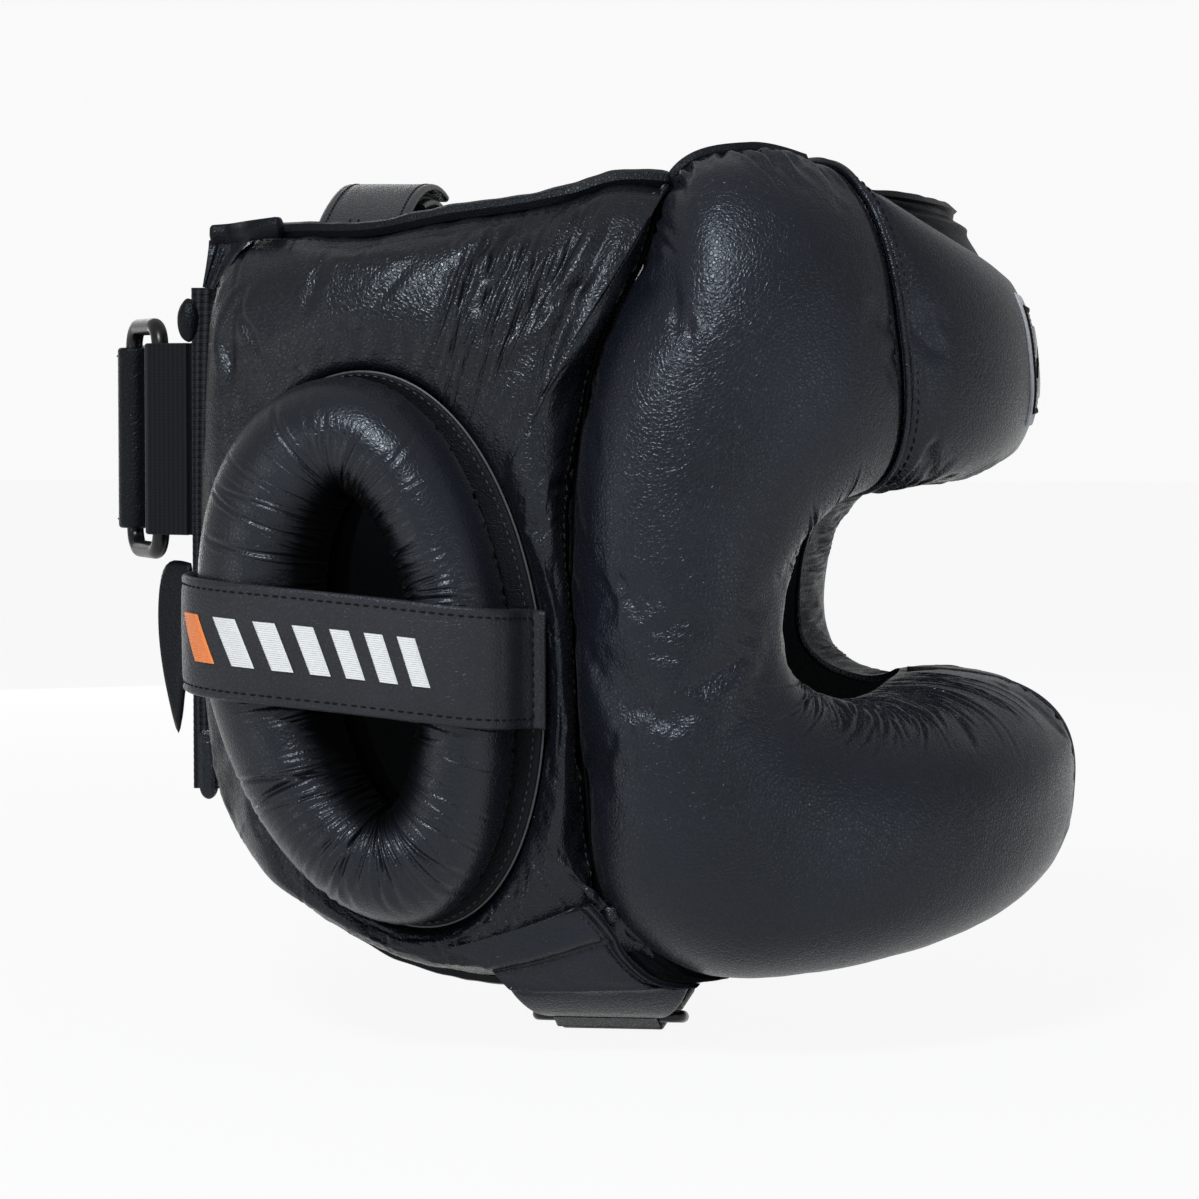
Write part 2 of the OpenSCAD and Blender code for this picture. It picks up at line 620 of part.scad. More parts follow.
module rear_hook_patch() {
    color(webbing) mirror([0, 1, 0])
        translate([0, 0, closure_z - strap_w / 2 + 7]) linear_extrude(strap_w - 14)
            plan_strip([for (k = steps(10)) run_beside(1 + k * 1.2,
                tail_lift - tail_t / 2 - patch_t / 2 - patch_gap)], patch_t);
}

// Leaf tab that hangs from the webbing's free edge
module leaf_tab(side) {
    leaf_top = closure_z - ring_h / 2 - 1;
    tip = leaf_w * 0.5;
    toward = ring_hinge - webbing_edge;
    color(leather) on_side(side)
        translate(concat(webbing_edge + 2.4 * seat_gap * unit(toward), leaf_top))
            rotate([0, 0, atan2(toward[1], toward[0])]) rotate([90, 0, 0])
                linear_extrude(thin_strap_t, center = true)
                    polygon([[0, 0], [leaf_w * 0.8, 0], [leaf_w, -leaf_h * 0.24],
                        [leaf_w * 0.92, -leaf_h * 0.6], [tip, -leaf_h], [leaf_w * 0.14, -leaf_h * 0.7],
                        [0, -leaf_h * 0.4]]);
}

// Crown strap in two halves that overlap on hook and loop
function crown_height(y) = crown_z - thin_strap_t - 22 * pow(abs(y) / 70, 2);
function crown_arc(from, to, lift) =
    [for (k = steps(10)) let (y = mix(from, to, k)) [y, crown_height(y) + lift]];
module across(x, width) {
    translate([x - width / 2, 0, 0]) rotate([90, 0, 90]) linear_extrude(width) children();
}
crown_seat = half_width;
crown_overlap = 22;
module in_head_space(z) {
    intersection() {
        children();
        linear_extrude(crown_z + 10)
            polygon([for (k = [0:59]) let (p = skin(6 * k, z, -2 * seat_gap)) [p[0], p[1]]]);
    }
}
module crown_strap_right() {
    color(leather) in_head_space(rear_top_z - 3) across(-crown_back, crown_w)
        plan_strip(crown_arc(-crown_seat, crown_overlap, thin_strap_t / 2), thin_strap_t);
}
under_lift = -thin_strap_t / 2 - 2 * patch_t - 3 * patch_gap;
module crown_strap_left() {
    color(leather) in_head_space(rear_top_z - 3) across(-crown_back, crown_w)
        plan_strip(crown_arc(-crown_overlap, crown_seat, under_lift), thin_strap_t);
}
module crown_loop_patch() {
    color(webbing) across(-crown_back, crown_w - 5)
        plan_strip(crown_arc(-crown_overlap + 3, crown_overlap - 3,
            under_lift + thin_strap_t / 2 + patch_t / 2 + patch_gap), patch_t);
}
module crown_hook_patch() {
    color(webbing) across(-crown_back, crown_w - 5)
        plan_strip(crown_arc(-crown_overlap + 5, crown_overlap - 3, -patch_t / 2 - patch_gap), patch_t);
}

// Chin strap: a flap from each cheek, a ring on the right and the strap from the left
chin_loop_r = chin_bar_d / 2 + ring_clearance;
chin_tail_t = thin_strap_t * 0.8;
chin_loop_outer = chin_loop_r + chin_tail_t;
chin_hinge = [-44, chin_loop_outer + 2];
chin_far = [-32, chin_loop_outer];
chin_reach = norm(chin_far - chin_hinge);
chin_turn = atan2(chin_far[0] - chin_hinge[0], chin_hinge[1] - chin_far[1]);
flap_front = 38;
flap_rear = -18;
flap_line = [[72, 22], [66.5, 15], [60, 10.2], [54, 8]];

// From the panel's lower edge the flap turns in under the jaw
function flap_point(r, k, up) =
    let (p = along(flap_line, r * (len(flap_line) - 1)),
         half = mix((flap_front - flap_rear) / 2, chin_w / 2, r),
         mid = mix((flap_front + flap_rear) / 2, chin_x, r))
    [mid + (2 * k - 1) * half, p[0], p[1] - thin_strap_t / 2 + up];
module chin_flap(side) {
    color(leather) on_side(side)
        slab([for (r = steps(6)) [for (k = steps(4)) flap_point(r, k, thin_strap_t)]],
             [for (r = steps(6)) [for (k = steps(4)) flap_point(r, k, 0)]]);
}
flap_edge = [-flap_line[3][0], flap_line[3][1]];
module chin_keeper() {
    toward = (chin_hinge - flap_edge) / norm(chin_hinge - flap_edge);
    color(leather) difference() {
        union() {
            across(chin_x, chin_w - 4) translate(chin_hinge) circle(r = chin_loop_outer);
            across(chin_x, chin_w - 4)
                plan_strip([flap_edge + 0.4 * toward, chin_hinge - (chin_loop_r + 0.5) * toward],
                    thin_strap_t);
        }
        across(chin_x, chin_w) translate(chin_hinge) circle(r = chin_loop_r);
    }
}
module chin_ring() {
    color(plastic) translate([chin_x, chin_hinge[0], chin_hinge[1]])
        rotate([chin_turn, 0, 0]) rotate([0, 90, 0])
            bar_ring(chin_reach, chin_w + 2 * chin_bar_d + 4, chin_bar_d, 3.2);
}
chin_step = chin_tail_t + 2 * patch_t + 0.7;
chin_low = thin_strap_t / 2;
chin_run = [
    [flap_line[3][0] - 0.4, flap_line[3][1] - 0.2], [50, 5.1], [46, 2.9], [42, chin_low + 0.5],
    [38, chin_low], [36, chin_low], [8, chin_low], [6, chin_low], [3, chin_low + 0.5],
    [-1, chin_low + chin_step - 0.5], [-4, chin_low + chin_step], [-6, chin_low + chin_step],
    [chin_far[0] + chin_loop_outer + 0.8, chin_low + chin_step]
];
module chin_strap() {
    color(leather) across(chin_x, chin_w)
        plan_strip(chin_run, thin_strap_t);
}
chin_tail_end = -9;
module chin_strap_tail() {
    color(leather) across(chin_x, chin_w - 4) difference() {
        union() {
            translate(chin_far) circle(r = chin_loop_outer);
            translate([chin_far[0], 0]) square([chin_tail_end - chin_far[0], chin_tail_t]);
        }
        translate(chin_far) circle(r = chin_loop_r);
    }
}
chin_tape_from = chin_far[0] + chin_loop_outer + 2;
chin_tape_w = chin_w - 8;
module chin_loop_patch() {
    color(webbing) across(chin_x, chin_tape_w)
        translate([chin_tape_from, chin_step - patch_t - 0.1])
            square([chin_tail_end - chin_tape_from, patch_t]);
}
module chin_hook_patch() {
    color(webbing) across(chin_x, chin_tape_w)
        translate([chin_tape_from, chin_tail_t + 0.1])
            square([chin_tail_end - 1 - chin_tape_from, patch_t]);
}

forehead_cover();
forehead_foam();
forehead_lining();
forehead_badge();
face_bar_cover("right");  // face_bar_cover_right
face_bar_cover("left");  // face_bar_cover_left
face_bar_foam("right");  // face_bar_foam_right
face_bar_foam("left");  // face_bar_foam_left
face_bar_lining("right");  // face_bar_lining_right
face_bar_lining("left");  // face_bar_lining_left
face_bar_welt();
side_cover("right");  // side_cover_right
side_cover("left");  // side_cover_left
side_foam("right");  // side_foam_right
side_foam("left");  // side_foam_left
side_lining("right");  // side_lining_right
side_lining("left");  // side_lining_left
ear_ring_cover("right");  // ear_ring_cover_right
ear_ring_cover("left");  // ear_ring_cover_left
ear_ring_foam("right");  // ear_ring_foam_right
ear_ring_foam("left");  // ear_ring_foam_left
ear_band("right");  // ear_band_right
ear_band("left");  // ear_band_left
temple_welt("right");  // temple_welt_right
temple_welt("left");  // temple_welt_left
cheek_welt("right");  // cheek_welt_right
cheek_welt("left");  // cheek_welt_left
top_binding("right");  // top_binding_right
top_binding("left");  // top_binding_left
neck_binding("right");  // neck_binding_right
neck_binding("left");  // neck_binding_left
rear_webbing("right");  // rear_webbing_right
rear_webbing("left");  // rear_webbing_left
leaf_tab("right");  // leaf_tab_right
leaf_tab("left");  // leaf_tab_left
ring_keeper();
rear_ring();
rear_strap();
rear_loop_patch();
rear_strap_tail();
rear_hook_patch();
crown_strap_right();
crown_strap_left();
crown_loop_patch();
crown_hook_patch();
chin_flap("right");  // chin_flap_right
chin_flap("left");  // chin_flap_left
chin_keeper();
chin_ring();
chin_strap();
chin_loop_patch();
chin_strap_tail();
chin_hook_patch();
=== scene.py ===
# %% [markdown]
# # A boxing headguard with a padded face bar
# The real guard is a set of stuffed leather pads sewn edge to edge round a head, with a strap at the
# back, one over the crown and one under the chin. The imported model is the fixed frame: it gives each
# piece its size and place. Here the pads get their leather, seams and wrinkles.

# %% Load the frame
import json
import bmesh
import bpy
import numpy as np
from mathutils import Matrix, Vector, kdtree, noise
from mathutils.bvhtree import BVHTree

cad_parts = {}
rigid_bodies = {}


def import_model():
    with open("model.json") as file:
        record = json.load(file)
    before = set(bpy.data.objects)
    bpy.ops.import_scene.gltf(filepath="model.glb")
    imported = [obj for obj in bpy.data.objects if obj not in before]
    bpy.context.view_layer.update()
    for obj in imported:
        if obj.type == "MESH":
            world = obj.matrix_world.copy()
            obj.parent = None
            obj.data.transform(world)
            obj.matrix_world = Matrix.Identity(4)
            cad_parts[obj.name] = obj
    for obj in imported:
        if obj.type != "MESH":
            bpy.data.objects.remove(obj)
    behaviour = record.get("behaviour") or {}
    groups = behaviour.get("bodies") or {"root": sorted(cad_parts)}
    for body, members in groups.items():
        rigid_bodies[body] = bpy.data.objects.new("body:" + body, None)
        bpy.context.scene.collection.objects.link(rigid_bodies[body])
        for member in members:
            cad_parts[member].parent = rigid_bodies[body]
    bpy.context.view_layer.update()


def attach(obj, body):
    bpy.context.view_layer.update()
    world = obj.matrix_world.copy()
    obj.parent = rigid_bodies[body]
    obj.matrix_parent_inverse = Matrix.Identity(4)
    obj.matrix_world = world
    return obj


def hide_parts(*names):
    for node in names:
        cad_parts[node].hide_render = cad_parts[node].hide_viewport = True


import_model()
MM = 0.001

# %% [markdown]
# ## Camera
# A long lens from over a metre away flattens the guard as a product photograph does. The camera looks
# at the wearer's right side from a little in front and a little above. A turn and a tilt round one
# target are easier to match to a picture than free coordinates.

# %% Camera
AZIMUTH, ELEVATION, DISTANCE = 7, 3, 1.2
LENS, SENSOR = 120, 36
TARGET = Vector((0.002, 0, 0.1245))


def camera():
    turn, tilt = np.radians(AZIMUTH), np.radians(ELEVATION)
    away = Vector((np.sin(turn) * np.cos(tilt), -np.cos(turn) * np.cos(tilt), np.sin(tilt)))
    data = bpy.data.cameras.new("camera")
    data.lens = LENS
    data.sensor_width = SENSOR
    obj = bpy.data.objects.new("camera", data)
    obj.location = TARGET + DISTANCE * away
    obj.rotation_euler = (-away).to_track_quat("-Z", "Y").to_euler()
    bpy.context.collection.objects.link(obj)
    bpy.context.scene.camera = obj
    return obj


print("camera at", [round(x, 3) for x in camera().location])

# %% [markdown]
# ## Shader maths in plain Python
# A material is a graph of nodes. Wrapping a socket in a small class lets a pattern be written as an
# expression, so `1 - mask` adds a Math node and nothing has to be wired by hand. Every other node comes
# from one method that sets its settings first and then its sockets.

# %% Socket class and material maker
class Sock:
    def __init__(self, tree, socket):
        self.tree, self.socket = tree, socket

    def node(self, kind, settings=None, out=0, **inputs):
        made = self.tree.nodes.new(kind)
        for key, value in (settings or {}).items():
            if key == "stops":
                ramp = made.color_ramp
                while len(ramp.elements) < len(value):
                    ramp.elements.new(0.5)
                for element, (place, colour) in zip(ramp.elements, value):
                    element.position = place
                    element.color = (*colour, 1)
            else:
                setattr(made, key, value)
        for key, value in inputs.items():
            index = int(key[1:]) if key[0] == "i" and key[1:].isdigit() else key.replace("_", " ")
            target = made.inputs[index]
            if isinstance(value, Sock):
                self.tree.links.new(value.socket, target)
            else:
                target.default_value = value
        return Sock(self.tree, made.outputs[out])

    def maths(self, how, other, swap=False):
        a, b = (other, self) if swap else (self, other)
        return self.node("ShaderNodeMath", {"operation": how}, i0=a, i1=b)

    def __add__(self, other):
        return self.maths("ADD", other)

    def __radd__(self, other):
        return self.maths("ADD", other)

    def __sub__(self, other):
        return self.maths("SUBTRACT", other)

    def __rsub__(self, other):
        return self.maths("SUBTRACT", other, swap=True)

    def __mul__(self, other):
        return self.maths("MULTIPLY", other)

    def __rmul__(self, other):
        return self.maths("MULTIPLY", other)

    def between(self, low, high):
        """0 at the low value, 1 at the high one, and a soft step from one to the other."""
        return self.node("ShaderNodeMapRange", {"interpolation_type": "SMOOTHSTEP"}, i0=self, i1=low,
                         i2=high)

    def tint(self, dark, light):
        return self.node("ShaderNodeMix", {"data_type": "RGBA"}, 2, i0=self, i6=(*dark, 1),
                         i7=(*light, 1))


def material(name, **constants):
    mat = bpy.data.materials.new(name)
    mat.use_nodes = True
    tree = mat.node_tree
    shader = tree.nodes["Principled BSDF"]
    for key, value in constants.items():
        shader.inputs[key.replace("_", " ")].default_value = value
    coords = tree.nodes.new("ShaderNodeTexCoord")
    start = {name: Sock(tree, coords.outputs[name]) for name in ("Object", "UV")}

    def finish(colour, rough, height=None, distance=0.0002, strength=1.0, painted_shade=None):
        tree.links.new(colour.socket, shader.inputs["Base Color"])
        tree.links.new(rough.socket, shader.inputs["Roughness"])
        if height:
            bump = colour.node("ShaderNodeBump", None, 0, Strength=strength, Distance=distance,
                               Height=height)
            tree.links.new(bump.socket, shader.inputs["Normal"])
        # painted shade: where the mask is 1 the surface is mixed into a near-black matt finish, for holes and
        # seams that no light reaches
        if painted_shade:
            deep = tree.nodes.new("ShaderNodeBsdfPrincipled")
            for key, value in (("Base Color", (0.0012, 0.0013, 0.0016, 1)), ("Roughness", 0.9),
                               ("Specular IOR Level", 0.05)):
                deep.inputs[key].default_value = value
            blend = tree.nodes.new("ShaderNodeMixShader")
            for index, source in enumerate((painted_shade.socket, shader.outputs[0], deep.outputs[0])):
                tree.links.new(source, blend.inputs[index])
            tree.links.new(blend.outputs[0], tree.nodes["Material Output"].inputs["Surface"])
        return mat
    return start["Object"], start["UV"], finish


print("the material maker is ready, with", len(bpy.data.materials), "plain materials on the packed model")

# %% [markdown]
# ## Leather
# The outer leather is nearly black with a blue cast and a soft sheen. Its grain is pebbles of about
# a millimetre: cells with domed tops, whose borders wander a little, and the colour is darker at the
# borders as painted shade in the grain's grooves. Wider crease lines run between groups of pebbles, and
# a slow noise varies the tone and the shine. Where a piece turns down into a hole or a seam and no light
# gets in, painted shade sinks it into black: a near-black matt finish is mixed in over bands of its UV
# map. The ring, panel, band and straps are cut from thinner or stiffer hides, so one recipe is mixed with
# other shades and shines; the panel's darker tone is partly painted shade of its recess by roll and ring.

# %% Leather materials
GRAIN = 820
PEBBLE_DEPTH = 0.00013


def leather(name, dark, light, rough, grain=GRAIN, depth=PEBBLE_DEPTH, specular=0.3, painted_shade_bands=()):
    place, uv, finish = material(name, Specular_IOR_Level=specular, Specular_Tint=(0.88, 0.94, 1, 1),
                                 Sheen_Weight=0.02, Sheen_Roughness=0.4)
    cloud = place.node("ShaderNodeTexNoise", None, 0, Vector=place, Scale=26.0, Detail=4.0)
    patch = place.node("ShaderNodeTexNoise", None, 0, Vector=place, Scale=110.0, Detail=3.0)
    drift = place.node("ShaderNodeTexNoise", None, 1, Vector=place, Scale=420.0, Detail=2.0)
    warp = place.node("ShaderNodeVectorMath", {"operation": "MULTIPLY_ADD"}, 0, i0=drift,
                      i1=(0.0009, 0.0009, 0.0009), i2=place)
    cells = place.node("ShaderNodeTexVoronoi", {"feature": "DISTANCE_TO_EDGE"}, 0, Vector=warp,
                       Scale=grain)
    lines = place.node("ShaderNodeTexVoronoi", {"feature": "DISTANCE_TO_EDGE"}, 0, Vector=warp,
                       Scale=grain * 0.36)
    pebbles = cells.between(0.0, 0.3)
    creases = 1 - (1 - lines.between(0.0, 0.1)) * patch.between(0.4, 0.6)
    height = 0.5 * pebbles + 0.5 * creases + 0.5 * patch
    shine = rough + 0.14 * (cloud - 0.5) + 0.14 * (0.5 - pebbles)
    # the slow noise is the leather's own tone; the darker pebble borders are painted shade in the grain's
    # grooves
    shade = cloud.between(0.32, 0.7) * 0.5 + 0.5 * pebbles
    # painted shade: each band of the UV map's height is mixed into near-black, for recesses that no light
    # reaches
    painted_shade_mask = None
    for low, high in painted_shade_bands:
        share = uv.node("ShaderNodeSeparateXYZ", None, 1, Vector=uv).between(low, high)
        painted_shade_mask = painted_shade_mask.maths("MAXIMUM", share) if painted_shade_mask else share
    return finish(shade.tint(dark, light), shine, height, depth, 1.0, painted_shade_mask)


OUTER = ((0.0034, 0.0043, 0.0072), (0.0078, 0.0095, 0.0156), 0.31)
outer = leather("leather_outer", *OUTER, specular=0.34)
# painted shade: from a little past the crest down the inner wall to the hole, the ring is mixed into
# near-black for the wall's deep shade
ring_leather = leather("leather_ring", *OUTER, depth=PEBBLE_DEPTH * 0.6, specular=0.38,
                       painted_shade_bands=[(0.053, 0.066)])
# painted shade: the panel's darker tone than the outer leather partly paints the shade of its recess between
# the roll and the ring; its first band sinks the hole wall and the floor beside the hole into black, the
# second the strip along its rim and the underside
panel_leather = leather("leather_panel", (0.0025, 0.0032, 0.005), (0.0062, 0.0073, 0.0112), 0.29,
                        specular=0.34, painted_shade_bands=[(0.03, 0.012), (0.1, 0.106)])
band_leather = leather("leather_band", (0.0115, 0.012, 0.0145), (0.021, 0.0215, 0.0255), 0.4)
strap_leather = leather("leather_strap", (0.0018, 0.0023, 0.0036), (0.0044, 0.0054, 0.0082), 0.42,
                        specular=0.16)
trim = leather("leather_trim", (0.0018, 0.0021, 0.003), (0.0044, 0.005, 0.007), 0.42, GRAIN * 1.4,
               0.0001, 0.14)
inner = leather("leather_lining", (0.0026, 0.003, 0.0036), (0.005, 0.0056, 0.0066), 0.65, GRAIN * 0.8,
                0.00006, 0.08)
print("leathers:", ", ".join(m.name for m in bpy.data.materials if m.name.startswith("leather")))

# %% [markdown]
# ## Webbing, tape, thread and plastic
# The rear webbing is a ribbed weave, so its pattern runs along the piece's own UV map, in metres. The
# rings are moulded and glossy with faint scuffs. Thread has a twist that shows only as a fine ripple.

# %% Woven, moulded and sewn materials
def woven(name, dark, light, rough, across, along_it, depth, ways=("Y", "X")):
    place, uv, finish = material(name, Specular_IOR_Level=0.15, Sheen_Weight=0.04,
                                 Sheen_Roughness=0.5)
    ribs = uv.node("ShaderNodeTexWave", {"bands_direction": ways[0]}, 1, Vector=uv, Scale=across,
                   Distortion=0.4, Detail=1.0)
    yarn = uv.node("ShaderNodeTexWave", {"bands_direction": ways[1]}, 1, Vector=uv, Scale=along_it,
                   Distortion=0.6, Detail=1.0)
    fuzz = place.node("ShaderNodeTexNoise", None, 0, Vector=place, Scale=1600.0, Detail=3.0)
    height = ribs * (0.55 + 0.45 * yarn) + 0.3 * fuzz
    # painted shade: the colour follows the weave's height, darker in the grooves between ribs and yarns; the
    # fuzz noise is the yarn's own tone
    shade = height.between(0.1, 1.2)
    return finish(shade.tint(dark, light), rough + 0.1 * fuzz, height, depth, 0.9)


def plain(name, dark, light, rough, scale, depth, **constants):
    place, _, finish = material(name, **constants)
    cloud = place.node("ShaderNodeTexNoise", None, 0, Vector=place, Scale=scale, Detail=5.0)
    scuff = place.node("ShaderNodeTexNoise", None, 0, Vector=place, Scale=scale * 9, Detail=2.0)
    return finish(cloud.tint(dark, light), rough + 0.18 * (cloud - 0.5) + 0.1 * (scuff - 0.5),
                  scuff, depth, 0.4)


webbing = woven("ribbed_webbing", (0.0022, 0.0024, 0.0034), (0.03, 0.0315, 0.039), 0.62, 130.0,
                420.0, 0.0004)
elastic = woven("elastic_tape", (0.0011, 0.0014, 0.0021), (0.0056, 0.0068, 0.0098), 0.6, 210.0, 450.0,
                0.00012, ("X", "Y"))
tape = plain("hook_and_loop", (0.004, 0.004, 0.0045), (0.013, 0.013, 0.014), 0.85, 900.0, 0.0005,
             Sheen_Weight=0.5)
plastic = plain("black_plastic", (0.003, 0.003, 0.0036), (0.006, 0.006, 0.007), 0.3, 90.0, 0.00002,
                Specular_IOR_Level=0.35)
thread = plain("thread_black", (0.0015, 0.0015, 0.002), (0.006, 0.006, 0.007), 0.6, 2200.0, 0.0001,
               Specular_IOR_Level=0.1)
thread_light = plain("thread_light", (0.035, 0.035, 0.037), (0.11, 0.11, 0.115), 0.5, 2200.0, 0.0001,
                     Sheen_Weight=0.1)
thread_brown = plain("thread_brown", (0.009, 0.007, 0.005), (0.026, 0.021, 0.014), 0.55, 2200.0,
                     0.0001)
thread_white = plain("thread_white", (0.6, 0.6, 0.585), (0.76, 0.76, 0.75), 0.5, 1500.0, 0.00015,
                     Sheen_Weight=0.4)
thread_orange = plain("thread_orange", (0.68, 0.15, 0.012), (0.86, 0.24, 0.03), 0.5, 1500.0,
                      0.00015, Sheen_Weight=0.4)
# the flange's edge strip is lighter: partly the cut edge's own tone, partly a painted highlight of the light
# rim that the raised edge catches
edge_tone_and_highlight = plain("leather_cut_edge", (0.012, 0.013, 0.015), (0.06, 0.064, 0.072), 0.5, 500.0, 0.0001)
thread_grey = plain("thread_grey", (0.33, 0.34, 0.36), (0.5, 0.51, 0.53), 0.55, 1500.0, 0.00015,
                    Sheen_Weight=0.4)
print("woven and moulded finishes:", webbing.name, tape.name, plastic.name)

# %% [markdown]
# ## The head that everything is laid round
# In plan the head is a squared oval, and it draws in at the crown and the neck. Every pad is measured
# from it: an angle from straight ahead, a height, and how far out from the head. Lengths here are in
# millimetres and angles in degrees, and only a finished mesh is turned into metres.

# %% The head's surface and smooth curves
HEAD_LENGTH, HEAD_WIDTH, HEAD_BACK = 200, 160, 7.9
DRAW_IN, DRAW_MIDDLE, DRAW_REACH = 9, 128, 115
PLAN_POWER = 2.5


def mix(a, b, t):
    return a + (b - a) * t


def head_radius(angle):
    c, s = np.abs(np.cos(np.radians(angle))), np.abs(np.sin(np.radians(angle)))
    return ((2 * c / HEAD_LENGTH) ** PLAN_POWER + (2 * s / HEAD_WIDTH) ** PLAN_POWER) ** (-1 / PLAN_POWER)


def skin(angle, height, out):
    """Points that far out from the head, as an array with x, y and z last."""
    r = head_radius(angle)
    x, y = r * np.cos(np.radians(angle)), r * np.sin(np.radians(angle))
    nx = np.sign(x) * np.abs(x) ** (PLAN_POWER - 1) / (HEAD_LENGTH / 2) ** PLAN_POWER
    ny = np.sign(y) * np.abs(y) ** (PLAN_POWER - 1) / (HEAD_WIDTH / 2) ** PLAN_POWER
    size = np.hypot(nx, ny)
    lift = out - DRAW_IN * np.minimum(1, np.abs(height - DRAW_MIDDLE) / DRAW_REACH) ** 2.4
    return np.stack([x - HEAD_BACK + lift * nx / size, y + lift * ny / size, height + 0 * x], -1)


def spline(a, b, c, d, t):
    """A smooth way from b to c, where a comes before them and d after."""
    return 0.5 * (2 * b + (c - a) * t + (2 * a - 5 * b + 4 * c - d) * t ** 2
                  + (3 * b - a - 3 * c + d) * t ** 3)


def along(rows, s):
    """A smooth curve through rows, at places counted in rows."""
    rows, s = np.asarray(rows, float), np.asarray(s, float)
    last = len(rows) - 1
    i = np.clip(np.floor(s).astype(int), 0, last - 1)
    return spline(*(rows[np.clip(i + k, 0, last)] for k in (-1, 0, 1, 2)), (s - i)[..., None])


def run_along(spots):
    """How far along a line each of its places lies."""
    return np.concatenate([[0], np.cumsum(np.linalg.norm(np.diff(spots, axis=0), axis=1))])


def unit(v):
    return v / np.maximum(np.linalg.norm(v, axis=-1, keepdims=True), 1e-9)


print("head at the brow:", skin(0.0, 158.0, 0.0).round(1))
print("head at the ear:", skin(113.5, 115.0, 0.0).round(1))

# %% [markdown]
# ## Wrinkle tools
# Leather that is stuffed and sewn never lies smooth: it puckers where the thread gathers it, and it
# folds where it has too much length. A relief is a height in millimetres over a surface, and adding
# several simple ones gives the mix of broad swells, pleats and fine lines that the eye expects.

# %% Relief helpers
def swell(points, size, seed):
    """Smooth noise from -1 to 1, with lumps of that size."""
    shift = Vector((seed, seed * 0.7, -seed))
    return np.array([noise.noise(Vector(p) / size + shift) for p in points.reshape(-1, 3)]).reshape(
        points.shape[:-1])


def on_map(u, v):
    """Places of a flat map, with the third number that noise needs."""
    return np.stack([u, v, 0 * u], -1)


def ridge_noise(values, seed, rate=1.0):
    """Noise along one line, for wrinkles that cross a seam at uneven spacing."""
    flat = np.asarray(values, float).ravel()
    return np.array([noise.noise(Vector((v * rate, seed, seed * 1.3))) for v in flat]).reshape(
        np.shape(values))


def puckers(place, off, spacing, reach, depth, seed):
    """Gathers beside a seam: place runs along it and off away from it."""
    wave = ridge_noise(place / spacing, seed) + 0.6 * ridge_noise(place / spacing * 2.1, seed + 5)
    width = reach * (0.7 + 0.6 * ridge_noise(place / spacing / 1.7, seed + 9))
    fade = np.exp(-(off / np.maximum(width, 1)) ** 1.4)
    return depth * fade * (1.6 * np.abs(wave) ** 0.8 - 0.5)


def gathers(place, off, span, seed, count, reach, width, depth, slant=0.25):
    """Fine folds that start beside a seam, at uneven places along it and of uneven length."""
    rng = np.random.default_rng(seed)
    total = np.zeros(np.shape(place))
    for _ in range(count):
        at, length, lean, wide, deep, start, wave = rng.random(7)
        length, wide, deep = reach * (0.3 + length), width * (0.6 + 0.8 * wide), depth * (0.4 + 0.9 * deep)
        t = (off - 0.2 * reach * start) / length
        fade = np.clip(4 * t * (1 - t), 0, 1) ** 0.7 * ((t > 0) & (t < 1))
        line = place - mix(span[0], span[1], at) - slant * (2 * lean - 1) * off - np.sin(off / 7 + 6 * wave)
        total += deep * fade * (0.45 * np.exp(-((np.abs(line) - 2 * wide) / (1.3 * wide)) ** 2)
                                - np.exp(-(line / wide) ** 2))
    return total


def groove(off, width, depth):
    return -depth * np.exp(-(off / width) ** 2)


def crease(u, v, start, end, width, depth, bend=0.0):
    """A fold between two places of a flat map, sharp in its valley with a soft lip beside it."""
    (x0, y0), (x1, y1) = start, end
    length = np.hypot(x1 - x0, y1 - y0)
    wx, wy = (x1 - x0) / length, (y1 - y0) / length
    t = ((u - x0) * wx + (v - y0) * wy) / length
    off = (u - x0) * -wy + (v - y0) * wx - bend * 4 * t * (1 - t)
    fade = np.clip(t * (1 - t) * 4, 0, 1) ** 0.6 * ((t > 0) & (t < 1))
    wide = width * (0.5 + 0.5 * fade)
    return depth * fade * (-np.exp(-(off / wide) ** 2)
                           + 0.55 * np.exp(-((np.abs(off) - 2.1 * wide) / (1.3 * wide)) ** 2))


seam = np.arange(0, 100, 0.5)
print("puckers on the seam:", puckers(seam, 0 * seam, 8, 7, 1, 1.0)[::40].round(2), "mm")

# %% [markdown]
# ## From a surface to a piece
# A grid from one bmesh operator is bent over a surface, which is a function of two numbers that run from 0
# to 1. Its relief moves each point along the surface's own normal. Where the grid closes on itself the
# doubles are merged, and the normals are worked out again so that faces point outwards.

# %% Grid pieces
def normal_of(surface, r, c, step=0.002):
    ahead, back = surface(np.clip(r + step, 0, 1), c), surface(np.clip(r - step, 0, 1), c)
    up, down = surface(r, np.clip(c + step, 0, 1)), surface(r, np.clip(c - step, 0, 1))
    return unit(np.cross(ahead - back, up - down))


def resampled(grid, r, c):
    """Smooth values between the rows and columns of a coarse grid."""
    rows, cols = grid.shape[0] - 1, grid.shape[1] - 1
    i, j = (np.clip(np.floor(x * n).astype(int), 0, n - 1) for x, n in ((r, rows), (c, cols)))
    total = 0
    ti, tj = (r * rows - i)[..., None], (c * cols - j)[..., None]

    def weights(t):
        return (-t + 2 * t ** 2 - t ** 3, 2 - 5 * t ** 2 + 3 * t ** 3, t + 4 * t ** 2 - 3 * t ** 3,
                t ** 3 - t ** 2)
    for a, wa in zip((-1, 0, 1, 2), weights(ti)):
        for b, wb in zip((-1, 0, 1, 2), weights(tj)):
            total = total + wa * wb / 4 * grid[np.clip(i + a, 0, rows), np.clip(j + b, 0, cols)]
    return total


